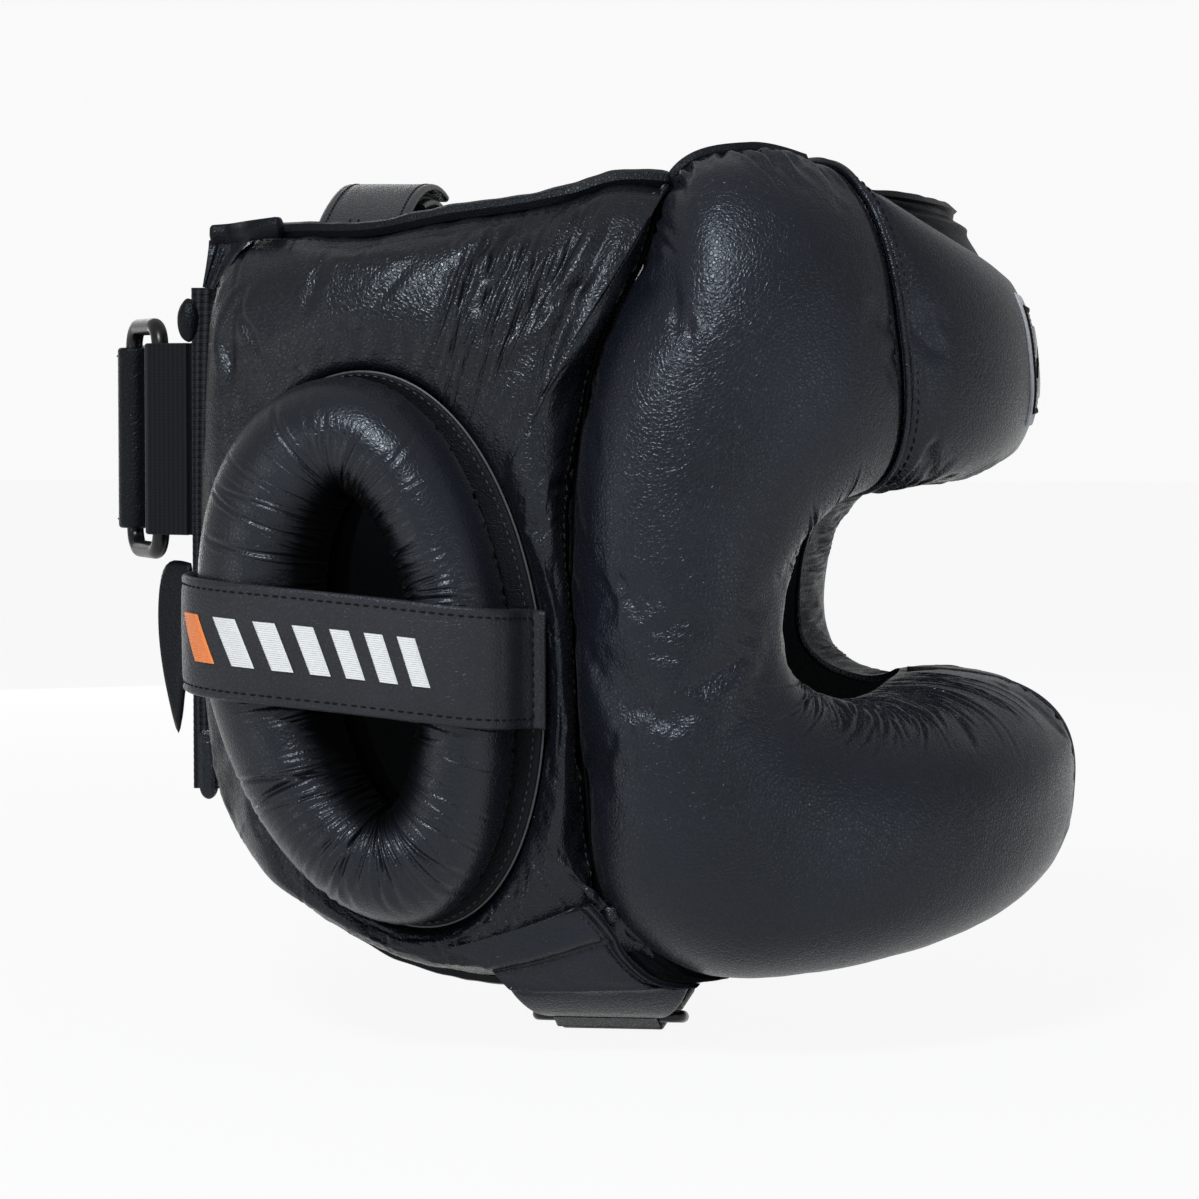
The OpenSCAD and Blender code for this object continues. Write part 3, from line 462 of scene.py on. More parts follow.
def shape_grid(surface, rows, cols, size):
    """A bmesh grid laid on the surface, with a UV map in metres, and its row and column places."""
    bm = bmesh.new()
    bmesh.ops.create_grid(bm, x_segments=rows, y_segments=cols, size=0.5)
    flat = np.array([v.co[:] for v in bm.verts])
    r, c = flat[:, 0] + 0.5, flat[:, 1] + 0.5
    uv = bm.loops.layers.uv.new("UVMap")
    for face in bm.faces:
        for loop in face.loops:
            loop[uv].uv = ((loop.vert.co.x + 0.5) * size[0] * MM, (loop.vert.co.y + 0.5) * size[1] * MM)
    for vert, spot in zip(bm.verts, surface(r, c) * MM):
        vert.co = spot
    return bm, r, c


def to_object(name, bm, mat, sharp=False):
    mesh = bpy.data.meshes.new(name)
    bm.to_mesh(mesh)
    bm.free()
    obj = bpy.data.objects.new(name, mesh)
    bpy.context.collection.objects.link(obj)
    mesh.materials.append(mat)
    mesh.shade_smooth()
    if sharp:
        mesh.set_sharp_from_angle(angle=np.radians(38))
    return obj


def grid_piece(name, surface, rows, cols, mat, size, sharp=False):
    bm, _, _ = shape_grid(surface, rows, cols, size)
    bmesh.ops.remove_doubles(bm, verts=bm.verts, dist=2e-6)
    bmesh.ops.recalc_face_normals(bm, faces=bm.faces)
    return to_object(name, bm, mat, sharp)


def mirrored(obj, name):
    """The same piece for the wearer's other side."""
    bm = bmesh.new()
    bm.from_mesh(obj.data)
    bmesh.ops.scale(bm, vec=(1, -1, 1), verts=bm.verts)
    bmesh.ops.reverse_faces(bm, faces=bm.faces)
    return to_object(name, bm, obj.data.materials[0])


def surface_tree(*objects):
    verts, faces = [], []
    for obj in objects:
        start = len(verts)
        verts += [v.co.copy() for v in obj.data.vertices]
        faces += [[start + i for i in poly.vertices] for poly in obj.data.polygons]
    return BVHTree.FromPolygons(verts, faces)


ear = np.array([0.5])
way_out = normal_of(lambda r, c: skin(100 + 27 * r, 100 + 30 * c, 0), ear, ear)
print("straight out at the ear:", way_out.round(2))

# %% [markdown]
# ## Stuffing a pad
# A sewn cover is cut a little larger than its seam allows, then stuffed until it is tight. A cloth
# simulation does the same: a coarse sheet is held along its seams, grown by a percent or so and blown
# up. Only its shift from the smooth surface is kept, capped, and laid over the fine grid.

# %% Cloth simulation of a stuffed cover
STUFFING_FRAMES = 20


def all_round(r, c):
    return (np.minimum(c, 1 - c) < 1e-4) | (np.minimum(r, 1 - r) < 1e-4)


def stuffed(surface, rows, cols, pressure, grow, cap, held=all_round):
    bm, r, c = shape_grid(surface, rows, cols, (1, 1))
    spots = surface(r, c)
    bmesh.ops.remove_doubles(bm, verts=bm.verts, dist=2e-6)
    bmesh.ops.recalc_face_normals(bm, faces=bm.faces)
    obj = to_object("stuffing", bm, outer)
    tree = kdtree.KDTree(len(obj.data.vertices))
    for vert in obj.data.vertices:
        tree.insert(vert.co, vert.index)
    tree.balance()
    index = np.array([tree.find(Vector(p) * MM)[1] for p in spots])
    seam = obj.vertex_groups.new(name="seam")
    seam.add([int(k) for k in set(index[held(r, c)])], 1.0, "REPLACE")
    cloth = obj.modifiers.new("cloth", "CLOTH")
    cloth.settings.quality = 6
    cloth.settings.bending_stiffness = 0.6
    cloth.settings.shrink_min = -grow
    cloth.settings.use_pressure = True
    cloth.settings.uniform_pressure_force = pressure
    cloth.settings.effector_weights.gravity = 0
    cloth.settings.vertex_group_mass = "seam"
    for step in range(1, STUFFING_FRAMES + 1):
        bpy.context.scene.frame_set(step)
    after = obj.evaluated_get(bpy.context.evaluated_depsgraph_get()).data
    ends = np.array([v.co[:] for v in after.vertices])[index] / MM
    shift = ends - spots
    size = np.linalg.norm(shift, axis=1, keepdims=True)
    shift *= np.tanh(size / cap) * cap / np.maximum(size, 1e-6)
    bpy.data.objects.remove(obj)
    bpy.context.scene.frame_set(1)
    grid = np.zeros((rows + 1, cols + 1, 3))
    grid[np.round(r * rows).astype(int), np.round(c * cols).astype(int)] = shift
    print("stuffed: mean shift", round(float(size.mean()), 2), "mm, largest kept",
          round(float(np.linalg.norm(shift, axis=1).max()), 2), "mm")
    return grid


# %% [markdown]
# ## The face bar and cheek roll
# One long stuffed roll runs from the temple seam down the cheek to the middle of the bar. Its stations
# give an inner edge, an outer edge and a thickness, and a smooth curve joins them. The section is a
# squared half-oval, because stuffing bulges a cover evenly and leaves it flat only against the head.

# %% Stations of the roll
BROW, OPENING, BAR_LOW, CHEEK_LOW, TEMPLE_TOP = 158, 104, 34, 22, 253
BAR_THICK, CHEEK_THICK, TEMPLE_THICK = 53, 34, 33
PAD_ROUND = 2.8
ROLL = [
    [32.6, BROW, 35.6, TEMPLE_TOP - 1, TEMPLE_THICK],
    [37.9, BROW - 3, 47.7, TEMPLE_TOP + 2, TEMPLE_THICK + 3.5],
    [42.6, BROW - 12, 60.9, TEMPLE_TOP - 4, CHEEK_THICK + 2],
    [45.1, mix(OPENING, BROW, 0.58), 68.2, 224, CHEEK_THICK],
    [45.9, mix(OPENING, BROW, 0.4), 77.1, 196, CHEEK_THICK - 1],
    [45.9, mix(OPENING, BROW, 0.25), 80.6, 158, CHEEK_THICK - 1],
    [45.1, OPENING + 6, 80.6, 120, CHEEK_THICK - 1],
    [42.6, OPENING + 1, 79, 80, CHEEK_THICK],
    [37.9, OPENING - 3, 75, CHEEK_LOW + 21, mix(CHEEK_THICK, BAR_THICK, 0.16)],
    [30.2, OPENING - 5, 59.8, CHEEK_LOW + 2, mix(CHEEK_THICK, BAR_THICK, 0.42)],
    [22.7, OPENING - 4, 42.6, CHEEK_LOW, mix(CHEEK_THICK, BAR_THICK, 0.68)],
    [13.1, OPENING - 1, 23.5, mix(CHEEK_LOW, BAR_LOW, 0.42), mix(CHEEK_THICK, BAR_THICK, 0.9)],
    [0.5, OPENING, 0.5, BAR_LOW, BAR_THICK],
]
ROLL_END = len(ROLL) - 1
SEAM_HALF = 1.2


def lobe(turn):
    """Half of a squared oval: how far across, and how high, each from 0 to 1."""
    c, s = np.cos(np.pi * turn), np.sin(np.pi * turn)
    return 0.5 - 0.5 * np.sign(c) * np.abs(c) ** (2 / PAD_ROUND), np.abs(s) ** (2 / PAD_ROUND)


def even_turns(width, height, count=400):
    """Turns of the lobe at even steps along its outline."""
    turns = np.linspace(0, 1, count)
    v, h = lobe(turns)
    run = np.concatenate([[0], np.cumsum(np.hypot(np.diff(v) * width, np.diff(h) * height))])
    return lambda c: np.interp(c, run / run[-1], turns)


roll_turns = even_turns(85, 36)
pad_turns = even_turns(80, 38)


def on_station(st, v, out):
    return skin(mix(st[..., 0], st[..., 2], v), mix(st[..., 1], st[..., 3], v), out)


def station_width(st):
    return np.linalg.norm(on_station(st, 0, 0) - on_station(st, 1, 0), axis=-1)


def tuck(distance, depth, reach):
    """How much of a pad's height is left beside a seam that pulls it in."""
    return 1 - depth * np.exp(-distance / reach)


roll_run = np.linspace(0, 1, 500)
roll_arc = run_along(on_station(along(ROLL, roll_run * ROLL_END), 0.5, 34))
ROLL_LENGTH = roll_arc[-1]


def roll_station(r):
    """The station at an even share of the roll's length, and its distances from both ends."""
    s = np.interp(r * ROLL_LENGTH, roll_arc, roll_run) * ROLL_END
    return s, along(ROLL, s), r * ROLL_LENGTH, (1 - r) * ROLL_LENGTH


def roll_surface(r, c):
    s, st, from_temple, from_middle = roll_station(r)
    v, h = lobe(roll_turns(c))
    inset = SEAM_HALF / station_width(st)
    high = st[..., 4] * tuck(from_temple, 0.035, 2.2) * tuck(from_middle, 0.03, 2.5)
    return on_station(st, v * (1 - inset), high * h)


print("roll:", round(ROLL_LENGTH), "mm long,", round(float(station_width(along(ROLL, 5.0)))), "mm wide")

# %% [markdown]
# ## Wrinkles of the roll
# The stuffing keeps the roll's face smooth. It puckers along the valley seam, gathers in pleats where
# its top turns over the temple, and shows fine lines that fan out from the eye opening's lower edge.

# %% Relief of the roll
ROLL_WIDE = 100
STITCH_ROW = 1.9
STITCH_IN, RIM_ROW = 2.6, 4.4


def roll_relief(r, c):
    s, st, from_temple, from_middle = roll_station(r)
    from_eye, from_valley = c * ROLL_WIDE, (1 - c) * ROLL_WIDE
    place = r * ROLL_LENGTH
    spot = on_map(place, c * ROLL_WIDE)
    top = np.exp(-((s - 1.3) / 0.9) ** 2)
    total = 0.45 * swell(spot, 52, 2.0) + 0.1 * swell(spot, 17, 7.0) + 0.05 * swell(spot, 6, 3.0)
    total += puckers(place, from_valley, 7.5, 6, 0.7, 11.0) * (1 - top)
    total += puckers(place, from_valley, 7.5, 15, 1.5, 15.0) * top
    total += puckers(place, from_eye, 6.0, 7, 0.45, 25.0)
    total += gathers(place, from_eye, (150, 300), 21, 70, 24, 0.75, 0.42, 0.5)
    total += gathers(place, from_eye, (20, 75), 23, 34, 17, 0.8, 0.5, 0.5)
    total += gathers(place, from_valley, (8, 62), 25, 26, 20, 1.1, 0.9, 0.4)
    total += puckers(c * ROLL_WIDE, from_temple, 9.0, 5, 0.12, 31.0)
    total += gathers(c * ROLL_WIDE, from_middle, (0, 100), 27, 22, 9, 0.8, 0.4)
    total += groove(from_temple - STITCH_ROW, 0.8, 0.35) + groove(from_middle - STITCH_ROW, 0.8, 0.3)
    return total * np.clip(np.minimum(from_eye, from_valley) / 2.5, 0, 1)


cheek = np.linspace(0.1, 0.9, 5)
print("relief across the cheek:", roll_relief(0 * cheek + 0.5, cheek).round(2), "mm")

# %% [markdown]
# ## A closed pad
# A pad's cover goes over the stuffing and comes back under it, so the grid wraps all the way round:
# the first stretch is the outer face, the rest lies flat against the lining. Its two ends are closed
# by drawing the last rows in to the middle of the section.

# %% Wrap a face into a closed pad
CAP_ROWS = 3


def wrapped(face, under, relief, shift, cols_out, cols_in, rows):
    """A closed surface from an outer face and an underside, each over (r, c)."""
    split = cols_out / (cols_out + cols_in)
    body = (rows - 2 * CAP_ROWS) / rows
    cap = (1 - body) / 2

    def surface(r, c):
        inside = np.clip((r - cap) / body, 0, 1)
        out = np.clip(c / split, 0, 1)
        back = np.clip((1 - c) / (1 - split), 0, 1)
        top = face(inside, out)
        lift = (relief(inside, out) if relief else 0) * np.ones_like(out)
        top = top + normal_of(face, inside, out) * lift[..., None]
        if shift is not None:
            top = top + resampled(shift, inside, out)
        low = under(inside, back)
        spots = np.where((c <= split + 1e-9)[..., None], top, low)
        past = np.clip(np.maximum(cap - r, r - 1 + cap) / cap, 0, 1)
        middle = 0.5 * (under(inside, 0.5 + 0 * r) + face(inside, 0.5 + 0 * r))
        return spots + (middle - spots) * (past ** 0.8)[..., None]
    return surface


def outward_sign(face):
    """Plus or minus one, so that relief pushes away from the head."""
    r = np.array([0.5])
    n = normal_of(face, r, r)
    return np.sign(np.sum(n * (face(r, r) - np.array([[-HEAD_BACK, 0, DRAW_MIDDLE]]))))


def pad(name, face, under, relief, rows, cols_out, cols_in, mat, size, shift=None):
    sign = outward_sign(face)
    lifted = (lambda r, c: sign * relief(r, c)) if relief else None
    surface = wrapped(face, under, lifted, shift, cols_out, cols_in, rows)
    obj = grid_piece(name, surface, rows, cols_out + cols_in, mat, size)
    print(name, "has", len(obj.data.polygons), "faces")
    return obj


def closed_pad(name, face, under, relief, rows, cols_out, cols_in, mat, size, shift=None):
    """A pad that closes on itself lengthways, so that it needs no end caps."""
    split = cols_out / (cols_out + cols_in)
    sign = outward_sign(face)

    def surface(r, c):
        out, back = np.clip(c / split, 0, 1), np.clip((1 - c) / (1 - split), 0, 1)
        normal = unit(np.cross(
            face((r + 0.002) % 1, out) - face((r - 0.002) % 1, out),
            face(r, np.clip(out + 0.002, 0, 1)) - face(r, np.clip(out - 0.002, 0, 1))))
        join = np.clip((r - 0.94) / 0.06, 0, 1)
        high = mix(relief(r, out), relief(r - 1, out), join * join * (3 - 2 * join))
        top = face(r, out) + normal * (sign * high)[..., None]
        if shift is not None:
            top = top + resampled(shift, r, out)
        return np.where((c <= split + 1e-9)[..., None], top, under(r, back))
    obj = grid_piece(name, surface, rows, cols_out + cols_in, mat, size)
    print(name, "has", len(obj.data.polygons), "faces")
    return obj


UNDER = 1.2


def roll_under(r, c):
    s, st, _, _ = roll_station(r)
    inset = SEAM_HALF / station_width(st)
    return on_station(st, c * (1 - inset), UNDER)


roll_shift = stuffed(roll_surface, 120, 34, 8, 0.012, 2.2)
roll_left = pad("face_bar_left", roll_surface, roll_under, roll_relief, 420, 130, 20, outer,
                (ROLL_LENGTH, 200), roll_shift)
mirrored(roll_left, "face_bar_right")

# %% [markdown]
# ## The forehead pad
# It spans the brow between the two temple seams. Its top edge dips at the middle, and its lower edge is
# puckered where the leather turns under to the lining.

# %% Forehead pad
FOREHEAD_END, FOREHEAD_TOP_END = ROLL[0][0] - 1.4, ROLL[0][2] - 1.4
FOREHEAD_TOP, FOREHEAD_THICK = 231, 41
FOREHEAD_WIDE = 118


def forehead_station(k):
    f = np.abs(k)
    return np.stack([FOREHEAD_END * k, BROW + 2 * (1 - f * f), FOREHEAD_TOP_END * k,
                     mix(FOREHEAD_TOP - 2.5, TEMPLE_TOP - 1, f ** 2.1) + 3.5 * (1 - f * f) ** 4,
                     mix(FOREHEAD_THICK, TEMPLE_THICK, f ** 4)], -1)


def forehead_surface(r, c):
    st = forehead_station(1 - 2 * r)
    v, h = lobe(pad_turns(c))
    end = np.minimum(r, 1 - r) * FOREHEAD_WIDE
    return on_station(st, v, st[..., 4] * h * tuck(end, 0.035, 2.2))


def forehead_under(r, c):
    return on_station(forehead_station(1 - 2 * r), c, UNDER)


def forehead_relief(r, c):
    end = np.minimum(r, 1 - r) * FOREHEAD_WIDE
    place, low, high = r * FOREHEAD_WIDE, c * 95, (1 - c) * 95
    spot = on_map(place, low)
    total = 0.4 * swell(spot, 44, 12.0) + 0.1 * swell(spot, 13, 17.0)
    total += puckers(place, low, 6.5, 8, 0.5, 41.0) + puckers(place, high, 8.0, 7, 0.5, 45.0)
    total += gathers(place, low, (0, FOREHEAD_WIDE), 43, 60, 22, 0.8, 0.5, 0.6)
    total += gathers(place, high, (20, FOREHEAD_WIDE - 20), 47, 22, 12, 0.8, 0.4, 0.4)
    total += puckers(low, end, 9.0, 5, 0.12, 49.0) + groove(end - STITCH_ROW, 0.8, 0.35)
    return total * np.clip(np.minimum(low, high) / 2.5, 0, 1)


forehead_shift = stuffed(forehead_surface, 60, 34, 8, 0.01, 1.6)
forehead = pad("forehead_pad", forehead_surface, forehead_under, forehead_relief, 200, 120, 16, outer,
               (FOREHEAD_WIDE, 190), forehead_shift)

# %% [markdown]
# ## The side panel's outline
# The panel runs from the valley seam to the back of the head, round the ear. Its outline follows the
# roll's outer edge, then the neck, the rear and the crown. It is laid out flat round the ear, in
# millimetres across and up, and then wrapped round the head.

# %% Flat map of the panel
NAPE, REAR_TOP, CHEEK_FLOOR = 70, 233, 22
EAR_Z, EAR_ANGLE, EAR_LEAN = 115, 113.5, 7
RING_W, RING_H, RING_ROLL, RING_RISE = 105, 154, 34, 41
SIDE_THICK, SIDE_FLOOR = 22, 9
RING_MIDDLE_OUT = SIDE_FLOOR + (RING_RISE - SIDE_FLOOR) / 2
PER_DEGREE = (head_radius(EAR_ANGLE) + RING_MIDDLE_OUT) * np.pi / 180
LEAN = np.tan(np.radians(EAR_LEAN))
SEAM_FROM, SEAM_TO, SEAM_POINTS = 2.15, 8.75, 120
VALLEY_MARGIN = 0.004


def ear_skin(x, z, out):
    return skin(EAR_ANGLE + (x + z * LEAN) / PER_DEGREE, EAR_Z + z, out)


def to_flat(p):
    p = np.asarray(p, float)
    return np.stack([(p[..., 0] - EAR_ANGLE) * PER_DEGREE - (p[..., 1] - EAR_Z) * LEAN,
                     p[..., 1] - EAR_Z], -1)


def seam_point(s):
    return along(ROLL, s)[..., 2:4]


PANEL_BOTTOM = [seam_point(SEAM_TO), [77, CHEEK_FLOOR + 2], [88, CHEEK_FLOOR], [101, CHEEK_FLOOR],
                [116, CHEEK_FLOOR + 5], [131, CHEEK_FLOOR + 17],
                [143, mix(CHEEK_FLOOR, NAPE, 0.6)], [150, NAPE - 6], [152.6, NAPE + 6]]
PANEL_REAR = [[152.6, NAPE + 6], [153.6, 118], [153.6, 168], [152.8, REAR_TOP - 10]]
PANEL_TOP = [[152.8, REAR_TOP - 10], [150, REAR_TOP - 1], [137, REAR_TOP], [122, REAR_TOP],
             [107, REAR_TOP + 4], [87, REAR_TOP + 8], [73, mix(REAR_TOP, TEMPLE_TOP, 0.68)],
             seam_point(SEAM_FROM)]
outline = np.concatenate([
    to_flat(seam_point(np.linspace(SEAM_FROM, SEAM_TO, SEAM_POINTS)))[:-1],
    to_flat(along(PANEL_BOTTOM, np.linspace(0, len(PANEL_BOTTOM) - 1, 90)))[:-1],
    to_flat(along(PANEL_REAR, np.linspace(0, len(PANEL_REAR) - 1, 60)))[:-1],
    to_flat(along(PANEL_TOP, np.linspace(0, len(PANEL_TOP) - 1, 90)))])
outline_run = run_along(outline)
AROUND = outline_run[-1]


def outline_at(r):
    return np.stack([np.interp(r % 1.0000001 * AROUND, outline_run, outline[:, k]) for k in (0, 1)], -1)


def inward_at(r, step=0.002):
    way = unit(outline_at((r + step) % 1) - outline_at((r - step) % 1))
    return np.stack([-way[..., 1], way[..., 0]], -1)


def valley_flat(r, inside):
    """The valley seam in the flat map, moved that far into the panel."""
    share = mix(VALLEY_MARGIN, outline_run[SEAM_POINTS - 1] / AROUND - VALLEY_MARGIN, r)
    return outline_at(share) + inside * inward_at(share)


def ear_ellipse(turn, k):
    """The ear ring's ellipses: 0 is its hole and 1 its outer edge."""
    w, h = (x / 2 - RING_ROLL * (1 - k) for x in (RING_W, RING_H))
    return np.stack([w * np.cos(turn), h * np.sin(turn)], -1)


print("panel is", round(AROUND), "mm round")

# %% [markdown]
# ## The side panel's surface
# Rows run from the hole over the ear, across the thin floor under the ear ring, up a step and over
# a low pillow to the rim. Leather that is pulled to a corner folds along the pull, so its creases fan
# towards the panel's upper front corner.

# %% Side panel surface and relief
HOLE_K, FLOOR_K, STEP_K = 0.12, 0.9, 1.07
REAR_THINNER = 0.26


def panel_rows(r):
    p = outline_at(r)
    turn = np.arctan2(p[..., 1] / RING_H, p[..., 0] / RING_W)
    rim = p + SEAM_HALF * inward_at(r)
    step = ear_ellipse(turn, STEP_K)
    flats = [ear_ellipse(turn, HOLE_K), ear_ellipse(turn, HOLE_K + 0.01), ear_ellipse(turn, FLOOR_K), step,
             mix(step, rim, 0.34), mix(step, rim, 0.72), mix(step, rim, 0.94), rim]
    highs = [0.8, SIDE_FLOOR, SIDE_FLOOR, 0.86 * SIDE_THICK, SIDE_THICK, 0.9 * SIDE_THICK,
             0.52 * SIDE_THICK, 0.8]
    return np.concatenate([np.stack(flats), np.stack([np.full(p.shape[:-1] + (1,), h) for h in highs])],
                          -1)


ROW_PLACES = (0, 0.05, 0.24, 0.36, 0.56, 0.76, 0.92, 1)


def panel_flat_at(r, c):
    rows = panel_rows(r)
    s = np.interp(c, ROW_PLACES, range(len(ROW_PLACES)))
    i = np.clip(np.floor(s).astype(int), 0, len(ROW_PLACES) - 2)
    t = (s - i)[..., None]
    near = [np.take_along_axis(rows, np.clip(i + k, 0, len(ROW_PLACES) - 1)[None, ..., None], 0)[0]
            for k in (-1, 0, 1, 2)]
    return np.where((i == 0)[..., None], mix(near[1], near[2], t), spline(*near, t))


def panel_surface(r, c):
    q = panel_flat_at(r, c)
    rear = np.clip((q[..., 0] - 44) / 22, 0, 1)
    thinner = 1 - REAR_THINNER * rear * rear * (3 - 2 * rear)
    return ear_skin(q[..., 0], q[..., 1], np.maximum(q[..., 2] * thinner, 0.8))


def panel_under(r, c):
    rows = panel_rows(r)
    q = mix(rows[0], rows[-1], c[..., None])
    return ear_skin(q[..., 0], q[..., 1], 0.8 + 0 * r)


CREASES = [
    ((-92, 118), (-60, 66), 2.6, 2.0, 3), ((-84, 122), (-46, 84), 2.4, 1.7, -3),
    ((-97, 106), (-74, 52), 2.4, 1.8, 2), ((-76, 124), (-30, 104), 2.2, 1.3, 2),
    ((-90, 92), (-66, 36), 2.8, 1.6, -2), ((-70, 112), (-52, 96), 1.6, 0.9, 1),
    ((-64, 118), (-36, 92), 1.6, 0.9, -2), ((-84, 104), (-58, 88), 1.5, 0.9, 1),
    ((-92, 76), (-72, 12), 2.6, 1.5, 2), ((-80, 60), (-62, 44), 1.6, 0.8, -1),
    ((-88, 40), (-70, -24), 2.4, 1.2, -2), ((-86, -4), (-68, -62), 2.4, 1.2, 2),
    ((-86, -40), (-58, -76), 2.4, 1.6, 2), ((-84, -58), (-50, -84), 2.0, 1.3, -2),
    ((-74, -70), (-44, -90), 2.0, 1.2, 1), ((36, 102), (42, 74), 2.0, 1.3, 2),
    ((40, 98), (30, 80), 1.3, 0.8, -1), ((48, 104), (58, 86), 1.6, 0.7, 1),
    ((-20, 108), (-4, 92), 1.8, 0.5, 1), ((10, 112), (16, 92), 1.8, 0.5, -1),
    ((58, -66), (34, -80), 2.0, 0.9, 2), ((50, -80), (20, -88), 2.0, 0.9, -2),
    ((-20, -88), (-46, -86), 2.0, 1.1, 2), ((4, -91), (-24, -91), 1.6, 0.8, -1),
]


def panel_relief(r, c):
    q = panel_flat_at(r, c)
    u, v = q[..., 0], q[..., 1]
    spot = on_map(u, v)
    rim = np.linalg.norm(q[..., :2] - outline_at(r), axis=-1)
    place = r * AROUND
    total = 0.8 * swell(spot, 36, 51.0) + 0.22 * swell(spot, 13, 55.0) + 0.07 * swell(spot, 5, 57.0)
    for start, end, width, depth, bend in CREASES:
        total += crease(u, v, start, end, width, 0.8 * depth, bend)
    total += puckers(place, rim, 8.0, 7, 0.3, 61.0) + groove(rim - RIM_ROW, 1.0, 0.4)
    total += gathers(place, rim, (0, AROUND), 63, 70, 16, 0.7, 0.4, 0.5)
    total += gathers(place, rim, (AROUND - 70, AROUND), 65, 40, 58, 1.0, 0.8, 0.35)
    total += gathers(place, rim, (255, 320), 67, 12, 30, 1.2, 0.7, 0.5)
    on_floor = np.clip((c - 0.3) / 0.08, 0, 1)
    return total * np.clip(rim / 3, 0, 1) * on_floor


panel_shift = stuffed(panel_surface, 160, 26, 5, 0.008, 1.5,
                      lambda r, c: (c < 0.4) | (c > 1 - 1e-4))
panel_left = closed_pad("side_panel_left", panel_surface, panel_under, panel_relief, 760, 112, 14,
                        panel_leather, (AROUND, 120), panel_shift)
mirrored(panel_left, "side_panel_right")

# %% [markdown]
# ## The ear ring
# An oval tube lies over the ear, sewn down along both its edges. Its leather is cut flat and gathered
# towards the hole, so fine wrinkles run across the roll, and they are deepest at the inner edge.

# %% Ear ring
RING_THICK = 32
RING_MIDDLE = (31, (RING_H - RING_THICK) / 2 - 1)
RING_SHIFT = 4.5
ROLL_FROM = -56
RING_SEAT = SIDE_FLOOR + 0.3
RING_AROUND = 330


def ring_angle(r):
    """Even steps round the ring, as an angle of its middle ellipse."""
    turns = np.linspace(0, 2 * np.pi, 721)
    p = np.stack([RING_MIDDLE[0] * np.cos(turns), RING_MIDDLE[1] * np.sin(turns)], -1)
    run = run_along(p)
    return np.interp(r, run / run[-1], turns)


def ring_point(r, across, height):
    """A place on the ring: across the roll from its middle line outwards, and up from the panel."""
    a = ring_angle(r % 1)
    away = unit(np.stack([np.cos(a) / RING_MIDDLE[0], np.sin(a) / RING_MIDDLE[1]], -1))
    x = RING_SHIFT + RING_MIDDLE[0] * np.cos(a) + across * away[..., 0]
    z = RING_MIDDLE[1] * np.sin(a) + across * away[..., 1]
    return ear_skin(x, z, RING_SEAT + height)


def ring_section(c):
    """Across and up, from the sewn outer edge over the top to the sewn inner edge."""
    start = np.radians(ROLL_FROM)
    b = start + c * (np.pi - 2 * start)
    rise = (RING_RISE - RING_SEAT) / (1 - np.sin(start))
    return RING_THICK / 2 * np.cos(b), rise * (np.sin(b) - np.sin(start))


def ring_surface(r, c):
    return ring_point(r, *ring_section(c))


def ring_under(r, c):
    across, _ = ring_section(0 * c)
    return ring_point(r, across * (1 - 2 * c), 0)


def ring_relief(r, c):
    place = r * RING_AROUND
    spot = np.stack([RING_AROUND / 6 * np.cos(2 * np.pi * r), RING_AROUND / 6 * np.sin(2 * np.pi * r),
                     c * 70], -1)
    total = 0.5 * swell(spot, 32, 71.0) + 0.08 * swell(spot, 9, 75.0)
    total += puckers(place, (1 - c) * 72, 5.0, 11, 0.4, 81.0)
    total += gathers(place, (1 - c) * 72, (0, RING_AROUND), 83, 270, 38, 0.55, 0.46, 0.12)
    total += gathers(place, (1 - c) * 72, (222, 292), 87, 30, 48, 0.7, 0.7, 0.2)
    total += gathers(place, c * 72, (0, RING_AROUND), 85, 150, 13, 0.6, 0.46, 0.2)
    return total * np.clip(np.minimum(c, 1 - c) * 20, 0, 1)


ring_left = closed_pad("ear_ring_left", ring_surface, ring_under, ring_relief, 700, 96, 8, ring_leather,
                       (RING_AROUND, 100))
mirrored(ring_left, "ear_ring_right")

# %% [markdown]
# ## Straps and cords
# A strap is one closed section, flat with round edges, drawn along a path. A place function turns a
# share of its length, a distance across and a lift into a point, so the same code makes bands, webbing,
# piping and bindings. Its first and last rings are drawn in to a point, which closes the ends.

# %% Straps
def slab_section(width, thick, arc=0.15):
    turn = np.linspace(-np.pi / 2, np.pi / 2, 9)
    side = np.stack([(width - thick) / 2 + thick / 2 * np.cos(turn), thick / 2 * np.sin(turn)], -1)
    spots = np.concatenate([side, -side, side[:1]])
    keys = np.concatenate([np.linspace(0, arc, 9), 0.5 + np.linspace(0, arc, 9), [1]])
    return lambda c: (np.interp(c, keys, spots[:, 0]), np.interp(c, keys, spots[:, 1]))


def capped(r, rows):
    """The share of a strap's length, and how far its first and last rings are drawn in."""
    cap = 1 / rows
    inside = np.clip((r - cap) / (1 - 2 * cap), 0, 1)
    return inside, 1 - np.clip(np.maximum(cap - r, r - 1 + cap) / cap, 0, 1)


def strap(name, place, width, thick, rows, cols, mat, relief=None, taper=None):
    section = slab_section(width, thick)

    def surface(r, c):
        inside, shrink = capped(r, rows)
        across, lift = section(c)
        if taper:
            shrink = shrink * taper(inside)
        if relief:
            lift = lift + relief(inside, across) * np.clip(lift / thick * 4, 0, 1)
        return place(inside, across * shrink, lift * shrink)

    ends = surface(np.array([0.1, 0.5, 0.9]), np.zeros(3))
    length = np.linalg.norm(np.diff(ends, axis=0), axis=1).sum() / 0.8
    return grid_piece(name, surface, rows, cols, mat, (length, 2 * width), sharp=thick < width)


def from_axis(p):
    """The level way out from the middle of the head."""
    return (p - np.array([-HEAD_BACK, 0, 0])) * np.array([1, 1, 0])


